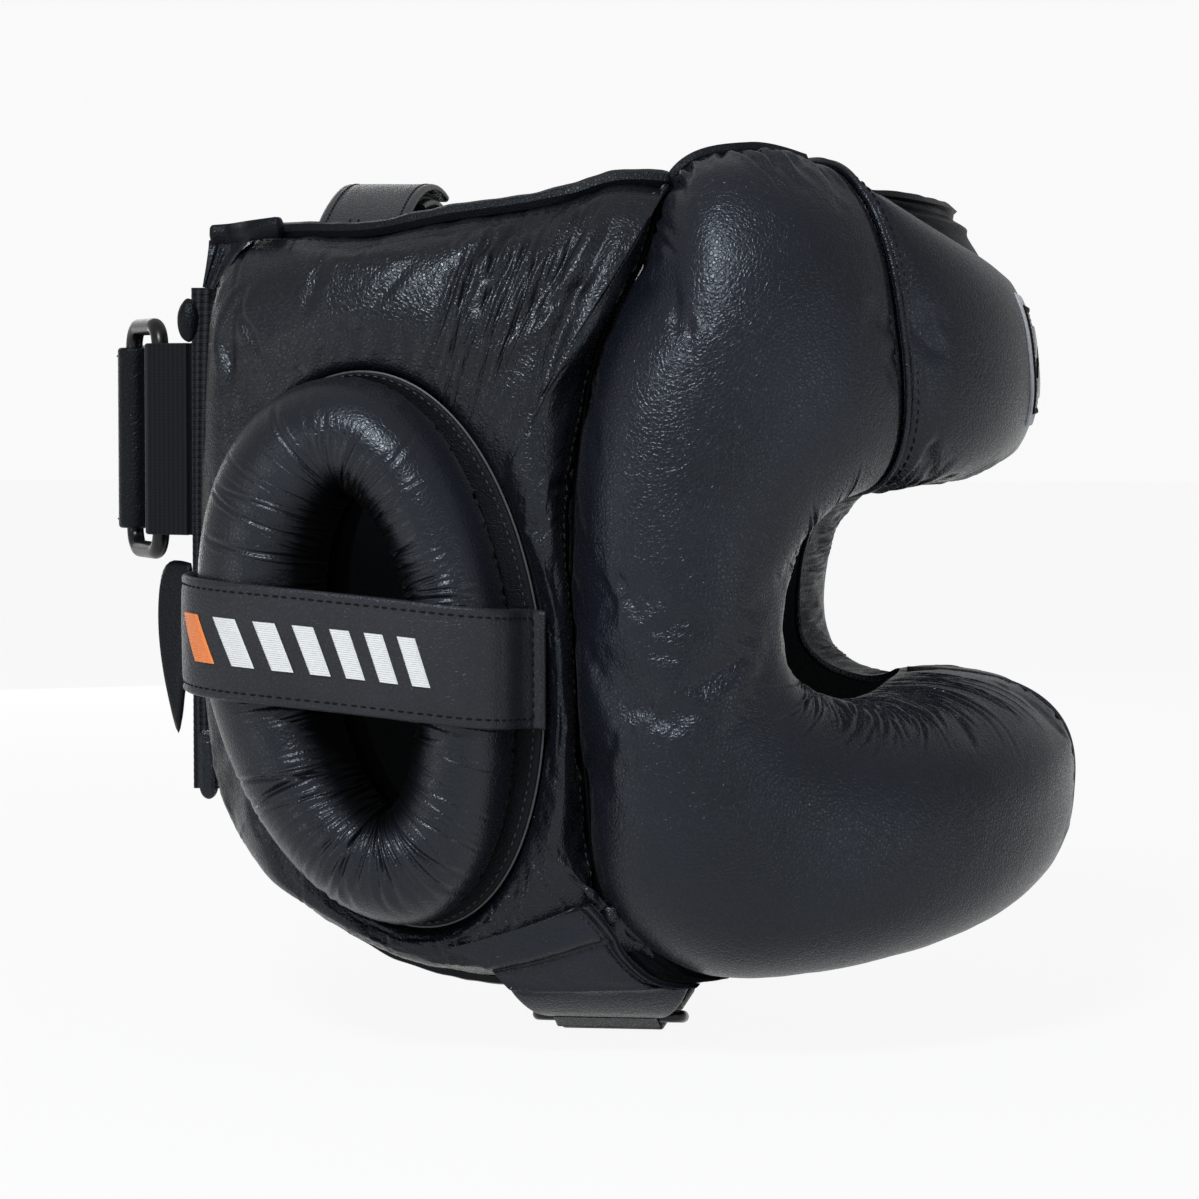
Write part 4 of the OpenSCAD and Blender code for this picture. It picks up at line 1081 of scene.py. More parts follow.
def framed(path, up=None, step=0.004):
    def place(r, across, lift):
        p = path(r)
        way = unit(path(np.clip(r + step, 0, 1)) - path(np.clip(r - step, 0, 1)))
        side = unit(np.cross(way, up(r) if up else from_axis(p)))
        return p + across[..., None] * side + lift[..., None] * np.cross(side, way)
    return place


def piping(name, path, diameter, rows, mat, taper=None):
    return strap(name, framed(path), diameter, diameter, rows, 10, mat, taper=taper)


def round_ends(r, share=0.02):
    return np.sqrt(np.clip(1 - (1 - np.clip(np.minimum(r, 1 - r) / share, 0, 1)) ** 2, 0.02, 1))


print("a 33 mm strap has its edge at", slab_section(33, 2.2)(np.array([0.0, 0.075])))

# %% [markdown]
# ## Welts and bindings
# A thin cord inside a folded strip stiffens each seam: one at each temple, one down the middle of the
# bar, one at the bottom of each valley. The rims are bound with a rolled strip of leather that runs on
# over the top of the roll. Inside, a flat tape covers the allowances of the temple and bar seams, and
# without it daylight would show between the pads. Over the forehead the rim is a thin collar that
# stands up behind the pad.

# %% Welts and bindings
TEMPLE_SEAM = np.array([ROLL[0][0] - 0.7, BROW, ROLL[0][2] - 0.7, TEMPLE_TOP - 1, TEMPLE_THICK])
BAR_SEAM = np.array([0, OPENING, 0, BAR_LOW, BAR_THICK])


def over_section(station, turns, lift):
    def path(r):
        v, h = lobe(turns(0.015 + 0.97 * r))
        return on_station(station + 0 * r[..., None], v, station[4] * h + lift)
    return path


def roll_edge(start, end, out):
    return lambda r: on_station(along(ROLL, mix(start, end, r)), 1 + 0 * r, out)


def rim(rows, start, end, beyond, out):
    """A line beside the panel's outline, that far beyond it and out from the head."""
    def path(r):
        q = to_flat(along(rows, mix(start, end, r)))
        q = q + beyond * unit(q)
        return ear_skin(q[..., 0], q[..., 1], out)
    return path


def lip(name, rows, start, end, count):
    """A rolled binding, taller than it is thick, with slow dents along it."""
    path, beyond = rim(rows, start, end, -0.5, 3.5), rim(rows, start, end, 1.5, 3.5)

    def relief(r, across):
        return 0.5 * ridge_noise(r * count / 7, 91.0) * np.cos(across / 3)
    return strap(name, framed(path, lambda r: beyond(r) - path(r)), 6.6, 5.2, count, 24, trim,
                 relief, round_ends)


trims = [piping("temple_piping_left", over_section(TEMPLE_SEAM, pad_turns, -0.45), 2.7, 150, outer),
         piping("valley_piping_left", roll_edge(SEAM_FROM, SEAM_TO, 3.0), 2.6, 200, trim, round_ends),
         lip("top_lip_left", PANEL_TOP, 0.35, 7, 170),
         lip("neck_lip_left", PANEL_BOTTOM, 0.9, 7.6, 170),
         lip("corner_lip_left", PANEL_REAR, 2.45, 3, 40),
         strap("roll_lip_left", framed(roll_edge(0.02, SEAM_FROM + 0.3, 2.8)), 4.2, 3.6, 90, 16, trim,
               lambda r, a: 0.4 * ridge_noise(r * 9, 95.0), round_ends)]
bar_piping = piping("bar_piping", over_section(BAR_SEAM, roll_turns, -0.5), 2.4, 160, outer)


def seam_tape(station):
    return framed(lambda r: on_station(station + 0 * r[..., None], 0.02 + 0.96 * r, 0.9))


trims.append(strap("temple_tape_left", seam_tape(TEMPLE_SEAM), 9, 1, 70, 16, inner))
trims += [mirrored(o, o.name.replace("left", "right")) for o in trims]
bar_tape = strap("bar_tape", seam_tape(BAR_SEAM), 9, 1, 70, 16, inner)


BROW_W, COLLAR_LOW, COLLAR_HIGH = 20, 225, 240.5


def brow_place(r, across, lift):
    """The collar over the forehead pad, from one temple to the other; across runs up it."""
    k = 1 - 2 * r
    share, side = across / BROW_W + 0.5, 1 - (1 - k * k) ** 2
    low = mix(COLLAR_LOW, TEMPLE_TOP - 14, k * k)
    high = COLLAR_HIGH + 3 * (1 - (1 - k * k) ** 3)
    out = mix(mix(29, 3, side), mix(22, 9, side), share)
    return skin(k * (FOREHEAD_TOP_END + 1), mix(low, high, share), out + lift)


def brow_relief(r, across):
    spot = on_map(120 * r, across)
    folds = 1.3 * np.exp(-((across - 2.5) / 1.7) ** 2) - 1.1 * np.exp(-((across - 6) / 1.3) ** 2)
    return 1.0 * swell(spot, 24, 171.0) + 0.4 * swell(spot, 8, 173.0) + folds


brow = [strap("brow_collar", brow_place, BROW_W, 2.4, 150, 60, trim, brow_relief),
        strap("brow_lip", lambda r, a, lift: brow_place(r, BROW_W / 2 + lift, a), 5.4, 4.6, 150, 16, trim,
              lambda r, a: 0.7 * ridge_noise(22 * r, 175.0))]
print("trims:", ", ".join(o.name for o in trims + [bar_piping]))

# %% [markdown]
# ## Linings
# The inner faces are plain lining leather, sewn in along the pads' edges and lightly wrinkled.

# %% Linings
def lining_of(name, face_at, rows, cols, size, seed):
    def relief(r, c):
        spot = on_map(r * size[0], c * size[1])
        edge = np.minimum(c, 1 - c) * size[1]
        total = 0.35 * swell(spot, 22, seed) + 0.1 * swell(spot, 7, seed + 3)
        total += puckers(r * size[0], edge, 7.0, 9, 0.45, seed + 5)
        return -total * np.clip(edge / 4, 0, 1)
    return pad(name, face_at(0.2), face_at(0.95), relief, rows, cols, 8, inner, size)


def inset(c, st):
    g = STITCH_IN / station_width(st)
    return g + c * (1 - 2 * g)


def roll_inner(out):
    def face(r, c):
        _, st, _, _ = roll_station(r)
        return on_station(st, inset(c, st), out)
    return face


def forehead_inner(out):
    def face(r, c):
        st = forehead_station(1 - 2 * r)
        return on_station(st, inset(c, st), out)
    return face


def panel_inner(out):
    def face(r, c):
        rows = panel_rows(r)
        q = mix(rows[0] * 1.06, rows[-1] * 0.985, c[..., None])
        return ear_skin(q[..., 0], q[..., 1], 0.8 * out)
    return face


def panel_lining(r, c):
    spot = on_map(r * AROUND, c * 100)
    return -0.3 * swell(spot, 24, 101.0) - puckers(r * AROUND, (1 - c) * 60, 8.0, 9, 0.4, 103.0)


roll_lining = lining_of("roll_lining_left", roll_inner, 200, 40, (ROLL_LENGTH, 70), 111.0)
side_lining = closed_pad("panel_lining_left", panel_inner(0.2), panel_inner(0.9), panel_lining, 260, 40,
                         8, inner, (AROUND, 90))
forehead_liner = lining_of("forehead_inner", forehead_inner, 90, 40, (FOREHEAD_WIDE, 80), 115.0)
linings = [roll_lining, side_lining, mirrored(roll_lining, "roll_lining_right"),
           mirrored(side_lining, "panel_lining_right"), forehead_liner]

# %% [markdown]
# ## Ear bands
# A leather band crosses each ring and is sewn down beside it. Its path dips a little over the hole. It
# carries a row of slanted satin-stitched bars, one orange and the rest white, in place of any lettering.

# %% Ear bands and their embroidery
BAND_W, BAND_T, BAND_SLOPE, BAND_ROW = 33, 2.2, 5, 6
RING_HALF = RING_W / 2
BAND_PATH = [[-RING_HALF - 2, SIDE_THICK - 0.4], [-RING_HALF + 2, SIDE_THICK - 0.2],
             [-RING_HALF + 7.6, RING_MIDDLE_OUT + 2], [-RING_HALF + 12, RING_RISE - 5],
             [-RING_HALF + 24, RING_RISE + 0.7], [4, RING_RISE - 1],
             [RING_HALF - RING_ROLL / 2, RING_RISE + 0.9], [RING_HALF - 4, RING_RISE - 5],
             [RING_HALF + 1.5, RING_MIDDLE_OUT + 2], [RING_HALF + 4.5, SIDE_THICK + 1.2]]
band_steps = np.linspace(0, len(BAND_PATH) - 1, 400)
band_run = run_along(along(BAND_PATH, band_steps))
BAND_LENGTH = band_run[-1]


def band_at(mm):
    return along(BAND_PATH, np.interp(mm, band_run, band_steps))


def band_place(r, across, lift):
    mm = r * BAND_LENGTH
    p, way = band_at(mm), unit(band_at(mm + 0.6) - band_at(mm - 0.6))
    sag = 0.5 + BAND_T / 2 + lift
    return ear_skin(p[..., 0] - sag * way[..., 1] - across * LEAN,
                    across + p[..., 0] * np.tan(np.radians(BAND_SLOPE)), p[..., 1] + sag * way[..., 0])


def band_relief(r, across):
    mm = r * BAND_LENGTH
    spot = on_map(mm, across)
    edge = BAND_W / 2 - np.abs(across)
    total = 0.35 * swell(spot, 24, 121.0) + 0.08 * swell(spot, 7, 125.0)
    total += groove(edge - STITCH_IN, 0.7, 0.3)
    total += groove(np.minimum(mm, BAND_LENGTH - mm) - BAND_ROW, 0.9, 0.4)
    return total + puckers(mm, edge, 5.0, 2.5, 0.18, 127.0)


def bar_place(start, width, tall, slant, lift):
    """A small sewn bar on the band: its own length runs up the band and leans along it."""
    def place(r, across, up):
        high = (r - 0.5) * tall
        return band_place((start + across + high * slant) / BAND_LENGTH, high, BAND_T / 2 + lift + up)
    return place


def satin(r, across):
    return 0.09 * np.sin(r * 2 * np.pi * 22)


BARS = [(24 + 9.5 * k, 5.4) for k in range(7)]
BAR_TALL, BAR_SLANT = 13, 0.35
band_left = strap("ear_band_strap_left", band_place, BAND_W, BAND_T, 180, 64, band_leather, band_relief)
bars = [strap(f"band_bar_{k}_left", bar_place(BAND_LENGTH - at, wide, BAR_TALL, BAR_SLANT, 0.15), wide, 0.8,
              90, 14, thread_orange if k == 0 else thread_white, satin)
        for k, (at, wide) in enumerate(BARS)]
bands = [band_left, mirrored(band_left, "ear_band_strap_right")]
bars += [mirrored(o, o.name.replace("left", "right")) for o in bars]
print("band is", round(BAND_LENGTH), "mm long with", len(BARS), "bars")

# %% [markdown]
# ## The ring's flange
# The ear ring is sewn to a flat collar of leather, which stands out beyond the roll at the front.

# %% Flange
FLANGE_W, FLANGE_T = 7, 1.5


def flange_place(r, across, lift):
    a = ring_angle(r)
    inside = np.stack([RING_SHIFT + (RING_MIDDLE[0] + 14) * np.cos(a), (RING_MIDDLE[1] + 14) * np.sin(a)], -1)
    outside = np.stack([(RING_HALF + 0.3) * np.cos(a), (RING_H / 2 + 0.3) * np.sin(a)], -1)
    q = mix(inside, outside, (across / FLANGE_W + 0.5)[..., None])
    return ear_skin(q[..., 0], q[..., 1], RING_SEAT + 9.5 + 1.2 * across / FLANGE_W + lift)


flange_section = slab_section(FLANGE_W, FLANGE_T)


def flange_surface(r, c):
    across, lift = flange_section(c)
    ripple = 0.5 * ridge_noise(18 * np.sin(np.pi * r), 131.0)
    return flange_place(r % 1, across, lift + ripple)


flange_left = grid_piece("ring_flange_left", flange_surface, 300, 20, trim, (RING_AROUND, 2 * FLANGE_W))
# a thin cord along the collar's outer edge, lighter partly for the cut edge's tone and partly as painted
# highlight of the rim
collar_rim = framed(lambda r: flange_place(r % 1, FLANGE_W / 2 + 0 * r, 0 * r))
collar_edge = strap("collar_edge_left", collar_rim, 1.0, 0.9, 260, 10, edge_tone_and_highlight)
flanges = [flange_left, mirrored(flange_left, "ring_flange_right"), collar_edge,
           mirrored(collar_edge, "collar_edge_right")]
print("flange faces:", len(flange_left.data.polygons))

# %% [markdown]
# ## The rear closure
# Seen from above, elastic webbing runs from each panel towards the nape. On the wearer's right a keeper
# holds the ring, and the strap from the left goes through the ring and folds back on itself. The webbing
# has a rib every two millimetres, and the keeper has cords woven in along its height.

# %% Rear closure
CLOSURE, REAR_STRAP_W, REAR_STRAP_T, WEBBING_T = 173, 56, 2.6, 2.2
EDGE = np.array([-112, 47.0])
HINGE = np.array([-123, 39.5])
FAR = np.array([-136.624, 15.038])
LOOP_R, LOOP_OUTER, LOOP_SPARE = 2.9, 4.98, 0.4
WEBBING_LOW, WEBBING_H, WEBBING_W, WEBBING_ROWS = CLOSURE - 102, 146, 20, 560
PATCH_T, PATCH_GAP = 0.8, 0.3
TAIL_T = 0.8 * REAR_STRAP_T
TAIL_LIFT = REAR_STRAP_T / 2 + TAIL_T / 2 + 2 * PATCH_T + 3 * PATCH_GAP


def smooth_path(points, count=300):
    """A curve through points at an even pace, as a function of a share of its length."""
    spots = along(points, np.linspace(0, len(points) - 1, count))
    run = run_along(spots)
    return lambda r: np.stack([np.interp(r * run[-1], run, spots[:, k]) for k in (0, 1)], -1)


def plan_place(path, middle, side=-1):
    """A strap that stands on edge along a path seen from above; side -1 is the wearer's right."""
    def place(r, across, lift):
        p, way = path(r), unit(path(np.clip(r + 0.01, 0, 1)) - path(np.clip(r - 0.01, 0, 1)))
        x, y = p[..., 0] - lift * way[..., 1], p[..., 1] + lift * way[..., 0]
        return np.stack([x, side * y, middle + across], -1)
    return place


def webbing_place(r, across, lift):
    """Height along r; across from the panel's rear rim to the free edge."""
    z = WEBBING_LOW + r * WEBBING_H
    rear = np.array(PANEL_REAR)
    angle = np.interp(z, rear[:, 1], rear[:, 0]) - 0.9 / PER_DEGREE
    t = across / WEBBING_W + 0.5
    root = skin(angle, z, 0.5 * WEBBING_T)
    free = np.array([EDGE[0] + 0.1, EDGE[1]])
    middle = 0.5 * (root[..., :2] + free) + np.array([-1, 0])
    path = (root[..., :2] * ((1 - t) * (1 - 2 * t))[..., None] + middle * (4 * t * (1 - t))[..., None]
            + free * (t * (2 * t - 1))[..., None])
    way = unit(free - root[..., :2])
    return np.stack([path[..., 0] + lift * -way[..., 1], path[..., 1] + lift * way[..., 0], z], -1)


def ribs(r, across):
    z = r * WEBBING_H
    return 0.4 * np.abs(np.sin(np.pi * z / 2.05 + 0.35 * np.sin(across))) - 0.2


web_section = slab_section(WEBBING_W, WEBBING_T)


def webbing_surface(r, c):
    across, lift = web_section(c)
    inside, shrink = capped(r, WEBBING_ROWS)
    return webbing_place(inside, across * shrink, (lift + np.sign(lift) * ribs(inside, across)) * shrink)


web_left = grid_piece("rear_web_left", webbing_surface, WEBBING_ROWS, 24, webbing, (WEBBING_H, 44))
webs = [web_left, mirrored(web_left, "rear_web_right")]


def loop_round(foot, hinge, radius, apart):
    """A keeper's loop in its plane: its two ends at the foot, and its bend round the hinge."""
    way = unit(hinge - foot)
    turns = np.arctan2(way[1], way[0]) + np.radians(np.linspace(-115, 115, 25))
    bend = hinge + radius * np.stack([np.cos(turns), np.sin(turns)], -1)
    first, last = (foot + 0.6 * way + k * apart * np.array([-way[1], way[0]]) for k in (-1, 1))
    return first, bend, last


first, bend, last = loop_round(EDGE, HINGE, (LOOP_R + LOOP_OUTER - LOOP_SPARE) / 2, 0.85)
keeper_path = smooth_path(np.concatenate([[first, mix(first, bend[0], 0.55)], bend,
                                          [mix(last, bend[-1], 0.55), last]]))


def keeper_relief(r, across):
    """Woven cords that run up the keeper, in pairs, with a fine twill between them."""
    mm = np.minimum(r, 1 - r) * 32
    cords = sum(0.45 * np.exp(-((mm - at) / 0.42) ** 2) for at in (1.4, 2.9, 4.4, 5.9))
    beads = 0.5 + 0.5 * np.sin(across * 2 * np.pi / 1.1)
    return cords * (0.7 + 0.3 * beads) + 0.12 * beads * np.sin(mm * 2 * np.pi / 1.2)


keeper = strap("ring_keeper_elastic", plan_place(keeper_path, CLOSURE), REAR_STRAP_W, 1.6, 140, 200,
               elastic, keeper_relief)
START = FAR + [-0.6, -LOOP_OUTER - 0.7]
RUN = [START, [START[0] - 1.1, 2], [-139, -14], [-132, -29], [EDGE[0] - 8, -EDGE[1] + 4],
       [EDGE[0] - 0.8, -EDGE[1] - 2.3]]


def beside_run(start, end, lift):
    """A line beside the rear strap, on its inner face."""
    s = np.linspace(start, end, 14)
    p, way = along(RUN, s), unit(along(RUN, s + 0.05) - along(RUN, s - 0.05))
    return smooth_path(p + lift * np.stack([way[:, 1], -way[:, 0]], -1))


def strap_relief(width):
    def relief(r, across):
        edge = width / 2 - np.abs(across)
        spot = on_map(r * 60, across)
        return 0.25 * swell(spot, 16, 141.0) + groove(edge - STITCH_IN, 0.7, 0.25)
    return relief


rear_run = strap("rear_strap_run", plan_place(smooth_path(RUN), CLOSURE), REAR_STRAP_W, REAR_STRAP_T,
                 90, 70, strap_leather, strap_relief(REAR_STRAP_W))
fold_turn = np.radians(np.linspace(-100, 180, 26))
fold = FAR + (LOOP_R + TAIL_T / 2) * np.stack([np.cos(fold_turn), np.sin(fold_turn)], -1)
tail_path = smooth_path(np.concatenate([fold, beside_run(0.3, 2.55, TAIL_LIFT)(np.linspace(0, 1, 12))]))
rear_tail = strap("rear_strap_end", plan_place(tail_path, CLOSURE), REAR_STRAP_W - 2, TAIL_T - 0.1,
                  120, 70, strap_leather, strap_relief(REAR_STRAP_W - 2),
                  lambda r: np.clip(0.9 + 8 * (1 - r), 0, 1))
print("closure:", keeper.name, rear_run.name, rear_tail.name)

# %% [markdown]
# ## Tabs beside the closure
# A leaf of leather hangs from the webbing's free edge under the ring, a second, rounded one ends the
# webbing below it, and a small padded stop sits above the keeper.

# %% Leaf, rounded tab and stop
LEAF = [[0, 0.3], [4, 0.9], [9, 0.6], [12.5, -3], [14, -12], [13.6, -24], [11, -38], [7, -50], [4, -40],
        [2, -30], [0.6, -18], [0, -4], [0, 0.3]]
LEAF_TOP = CLOSURE - 71 / 2 - 1


def flat_tab(name, outline, thick, crown):
    """A flat tab from an outline that is drawn in a plane: across from the webbing, and up."""
    path = smooth_path(outline)
    middle = np.mean(np.array(outline), axis=0)
    toward = unit(HINGE - EDGE)

    def surface(r, c):
        edge = path(r)
        share = 1 - np.abs(2 * c - 1)
        full = np.minimum(1, share * 1.6)
        spot = middle + (edge - middle) * (full ** 0.5)[..., None]
        high = np.sign(0.5 - c) * (thick / 2) * np.sqrt(np.clip(1 - full ** 6, 0, 1))
        bulge = crown * (1 - full ** 2) + 0.012 * (spot[..., 1] - middle[1]) ** 2 / 10
        foot = EDGE + 0.75 * toward + spot[..., :1] * toward
        side = high + bulge
        return np.stack([foot[..., 0] - side * toward[1], foot[..., 1] + side * toward[0],
                         LEAF_TOP + spot[..., 1]], -1)
    return grid_piece(name, surface, 60, 16, strap_leather, (120, 30))


leaf_left = flat_tab("leaf_left", LEAF, 2.2, 0.5)
web_end = strap("web_end_left", lambda r, a, lift: webbing_place(mix(-0.022, 0.125, r), a + 3.4, lift),
                8, 3.6, 60, 24, outer, taper=lambda r: round_ends(r, 0.2))
STOP_AT, STOP_SIZE = Vector((-112.6, 47.2, 207.6)), Vector((3.3, 2.5, 6.3))
bm = bmesh.new()
bmesh.ops.create_uvsphere(bm, u_segments=32, v_segments=24, radius=1)
for vert in bm.verts:
    lump = 1 + 0.06 * noise.noise(vert.co * 1.7)
    vert.co = STOP_AT * MM + STOP_SIZE * MM * lump * vert.co
stop_left = to_object("keeper_stop_left", bm, strap_leather)
leaves = [leaf_left, web_end, stop_left]
leaves += [mirrored(o, o.name.replace("left", "right")) for o in leaves]
print("leaf faces:", len(leaf_left.data.polygons))

# %% [markdown]
# ## Crown and chin straps
# Both are seen in the plane across the head. The crown strap is two halves, one over the other. Under the
# chin a flap hangs from each cheek, the right one with a small ring, and the left strap folds back
# through it.

# %% Crown and chin
THIN = 2.2
CROWN_X, CROWN_W, CHIN_X, CHIN_W = -60, 26, 10, 34
CROWN_TOP, CROWN_DROP, CROWN_SPAN = 249 - THIN, 22, 70


def level_place(path, middle):
    """A strap seen in the plane across the head; its width runs front to back."""
    def place(r, across, lift):
        p, way = path(r), unit(path(np.clip(r + 0.01, 0, 1)) - path(np.clip(r - 0.01, 0, 1)))
        return np.stack([middle + across, p[..., 0] - lift * way[..., 1], p[..., 1] + lift * way[..., 0]], -1)
    return place


def crown_path(start, end, lift):
    y = np.linspace(start, end, 16)
    return smooth_path(np.stack([y, CROWN_TOP - CROWN_DROP * (y / CROWN_SPAN) ** 2 + lift], -1))


under_lift = -THIN / 2 - 2 * PATCH_T - 3 * PATCH_GAP
CROWN_FOOT, CROWN_LAP = 65.8, 22
crown_place = level_place(crown_path(-CROWN_FOOT, CROWN_LAP, THIN / 2), CROWN_X)
under_place = level_place(crown_path(-CROWN_LAP, CROWN_FOOT, under_lift), CROWN_X)
crown = [strap(name, place, CROWN_W, THIN, 110, 40, outer, strap_relief(CROWN_W))
         for name, place in (("crown_band_right", crown_place), ("crown_band_left", under_place))]
CHIN_BAR = 3.6
CHIN_LOOP = CHIN_BAR / 2 + 0.4
CHIN_TAIL_T = 0.8 * THIN
CHIN_OUTER = CHIN_LOOP + CHIN_TAIL_T
CHIN_HINGE, CHIN_FAR = np.array([-44, CHIN_OUTER + 2]), np.array([-32, CHIN_OUTER])
FLAP = [[72, 22], [66.5, 15], [60, 10.2], [54, 8]]
FLAP_FRONT, FLAP_REAR, FLAP_W = 38, -18, 50


def flap_place(r, across, lift):
    """The flap under the jaw; across is a share of its width, which narrows towards the strap."""
    p = along(FLAP, r * (len(FLAP) - 1))
    way = unit(along(FLAP, np.minimum(r * 3 + 0.05, 3)) - along(FLAP, np.maximum(r * 3 - 0.05, 0)))
    half = mix((FLAP_FRONT - FLAP_REAR) / 2, CHIN_W / 2, r)
    middle = mix((FLAP_FRONT + FLAP_REAR) / 2, CHIN_X, r)
    return np.stack([middle + across / FLAP_W * 2 * half, p[..., 0] + lift * way[..., 1],
                     p[..., 1] - lift * way[..., 0]], -1)


def flap_relief(r, across):
    spot = on_map(r * 24, across)
    edge = FLAP_W / 2 - np.abs(across)
    return (0.9 * swell(spot, 13, 151.0) + 0.3 * swell(spot, 5, 155.0) + groove(edge - STITCH_IN, 0.8, 0.3)
            + 0.9 * np.exp(-((across - 17 - 3 * r) / 2.2) ** 2)
            - 0.7 * np.exp(-((across + 4 - 14 * r) / 2.4) ** 2))


flap_left = strap("jaw_flap_left", flap_place, FLAP_W, THIN, 60, 110, outer, flap_relief)
flaps = [flap_left, mirrored(flap_left, "jaw_flap_right")]
flap_end = np.array([-FLAP[3][0], FLAP[3][1]])
first, bend, last = loop_round(flap_end, CHIN_HINGE, CHIN_LOOP + 0.75, 0.7)
chin_loop = smooth_path(np.concatenate([[first], bend, [last]]))
chin_keeper = strap("chin_keeper_loop", level_place(chin_loop, CHIN_X), CHIN_W - 4, 1.3, 90, 50,
                    strap_leather)
CHIN_STEP = CHIN_TAIL_T + 2 * PATCH_T + 0.7
LOW = THIN / 2
CHIN_RUN = [[FLAP[3][0] - 0.4, FLAP[3][1] - 0.2], [50, 5.1], [46, 2.9], [42, LOW + 0.5], [38, LOW],
            [36, LOW], [8, LOW], [6, LOW], [3, LOW + 0.5], [-1, LOW + CHIN_STEP - 0.5],
            [-4, LOW + CHIN_STEP], [-6, LOW + CHIN_STEP],
            [CHIN_FAR[0] + CHIN_OUTER + 0.8, LOW + CHIN_STEP]]
chin_place = level_place(smooth_path(CHIN_RUN), CHIN_X)
chin_run = strap("chin_strap_run", chin_place, CHIN_W, THIN, 160, 50, strap_leather,
                 lambda r, a: -groove(CHIN_W / 2 - np.abs(a) - STITCH_IN, 0.7, -0.2))
end_turn = np.radians(np.linspace(60, 270, 22))
chin_fold = CHIN_FAR + (CHIN_LOOP + CHIN_TAIL_T / 2) * np.stack([np.cos(end_turn), np.sin(end_turn)], -1)
CHIN_TAIL = np.concatenate([chin_fold, [[y, CHIN_TAIL_T / 2] for y in (-30, -26, -20, -14, -9)]])
chin_tail = strap("chin_strap_end", level_place(smooth_path(CHIN_TAIL), CHIN_X), CHIN_W - 4,
                  CHIN_TAIL_T - 0.1, 110, 50, strap_leather)
print("crown and chin:", ", ".join(o.name for o in crown + flaps + [chin_keeper, chin_run, chin_tail]))

# %% [markdown]
# ## Leather laid on the panel
# The chin flap's upper end is a folded lozenge of leather that lies on the side panel and hangs over its
# lower rim. A net of places seen from the side gives its outline, and rays shot at the panel give its
# depth. Its front edge is folded over and catches the light, and a gusset of lining leather closes the
# gap from there to the roll. A small gathered tab covers the panel's upper rear corner in the same way,
# with a short binding along its top.

# %% Jaw patch and corner tab
JAW = np.array([[[-29.6, 31.8], [-15, 36], [-1, 40.8], [11.8, 45.5]],
                [[-21, 28.5], [-7, 32], [6, 35.5], [17, 38.2]],
                [[-16, 24.5], [-2, 26.5], [11, 29], [21, 29.5]],
                [[-12.5, 20.8], [3, 20.8], [17, 21.5], [29, 22]],
                [[-8, 18.3], [8, 18], [24, 18.3], [40, 20.5]]])
CORNER = np.array([[[-105, 230.5], [-98, 231], [-90, 231.5]],
                   [[-105.5, 226], [-99.5, 226], [-94, 226]],
                   [[-107, 217], [-104, 216.5], [-101, 217]]])
GUSSET_STEPS = (-4, -2, -0.5), (5, -5, 0.5), (13, -12, 2.5)
panel_tree = surface_tree(panel_left)


def laid(net, at, hang=lambda x, z: 0.0):
    """A net of places seen from the side, given the depth of the panel behind each of them."""
    def depth(x, z):
        hit = panel_tree.ray_cast(Vector((at(x, z)[0], 200, at(x, z)[1])) * MM, Vector((0, -1, 0)))[0]
        return (hit.y / MM if hit else 52) - hang(x, z)
    return np.array([[[x, depth(x, z), z] for x, z in row] for row in net])


def net_face(net, out):
    return lambda r, c: resampled(net, np.asarray(r, float), np.asarray(c, float)) + np.array([0, out, 0])


def jaw_relief(r, c):
    spot = on_map(50 * c, 28 * r)
    fold = 0.46 - 0.1 * c
    total = 0.7 * swell(spot, 16, 161.0) + 0.2 * swell(spot, 6, 163.0)
    total += 0.9 * np.exp(-((r - fold + 0.12) / 0.08) ** 2) - 1.1 * np.exp(-((r - fold) / 0.035) ** 2)
    total += 1.5 * np.exp(-((c - 0.95) / 0.04) ** 2) - 0.8 * np.exp(-((c - 0.87) / 0.03) ** 2)
    total += 0.5 * np.exp(-((r - 0.78 - 0.1 * c) / 0.04) ** 2)
    return total


def corner_relief(r, c):
    spot = on_map(14 * c, 17 * r)
    return 0.5 * swell(spot, 6, 165.0) + gathers(14 * c, 17 * r, (2, 12), 167, 9, 20, 0.6, 0.5, 0.2)


jaw_net = laid(JAW, lambda x, z: (min(x, 16), max(z, 33)),
               lambda x, z: 0.5 * max(0, 33 - z) + 0.35 * max(0, x - 16))
corner_net = laid(CORNER, lambda x, z: (x, min(z, 229)))
jaw_left = pad("jaw_patch_left", net_face(jaw_net, 2.4), net_face(jaw_net, -0.6), jaw_relief,
               110, 130, 10, outer, (28, 110))
corner_left = pad("corner_tab_left", net_face(corner_net, 1.8), net_face(corner_net, -0.8), corner_relief,
                  50, 50, 8, outer, (17, 30))

# %% [markdown]
# The gusset starts from the patch's front column of places and steps inwards, so the two always meet.
# The binding follows the tab's top row and runs a little past its last place.

# %% Gusset behind the patch and binding over the tab
gusset_net = np.stack([jaw_net[:, -1] + np.array(step) for step in GUSSET_STEPS], 1)
gusset_left = pad("jaw_gusset_left", net_face(gusset_net, 0.8), net_face(gusset_net, -0.8), corner_relief,
                  60, 40, 6, inner, (28, 30))
corner_rim = np.concatenate([corner_net[0], corner_net[0, -1:] + np.array([[9, 2.5, 1]])])
corner_rim += np.array([0, 1, 1.5])
corner_place = framed(lambda r: along(corner_rim, 3 * r), lambda r: np.array([0, 1, 0]) + 0 * r[..., None])
corner_bind = strap("corner_bind_left", corner_place, 6.4, 5, 50, 20, trim,
                    lambda r, a: 0.4 * ridge_noise(r * 4, 97.0), lambda r: round_ends(r, 0.08))
jaws = [corner_bind, jaw_left, gusset_left, corner_left]
jaws += [mirrored(o, o.name.replace("left", "right")) for o in jaws]
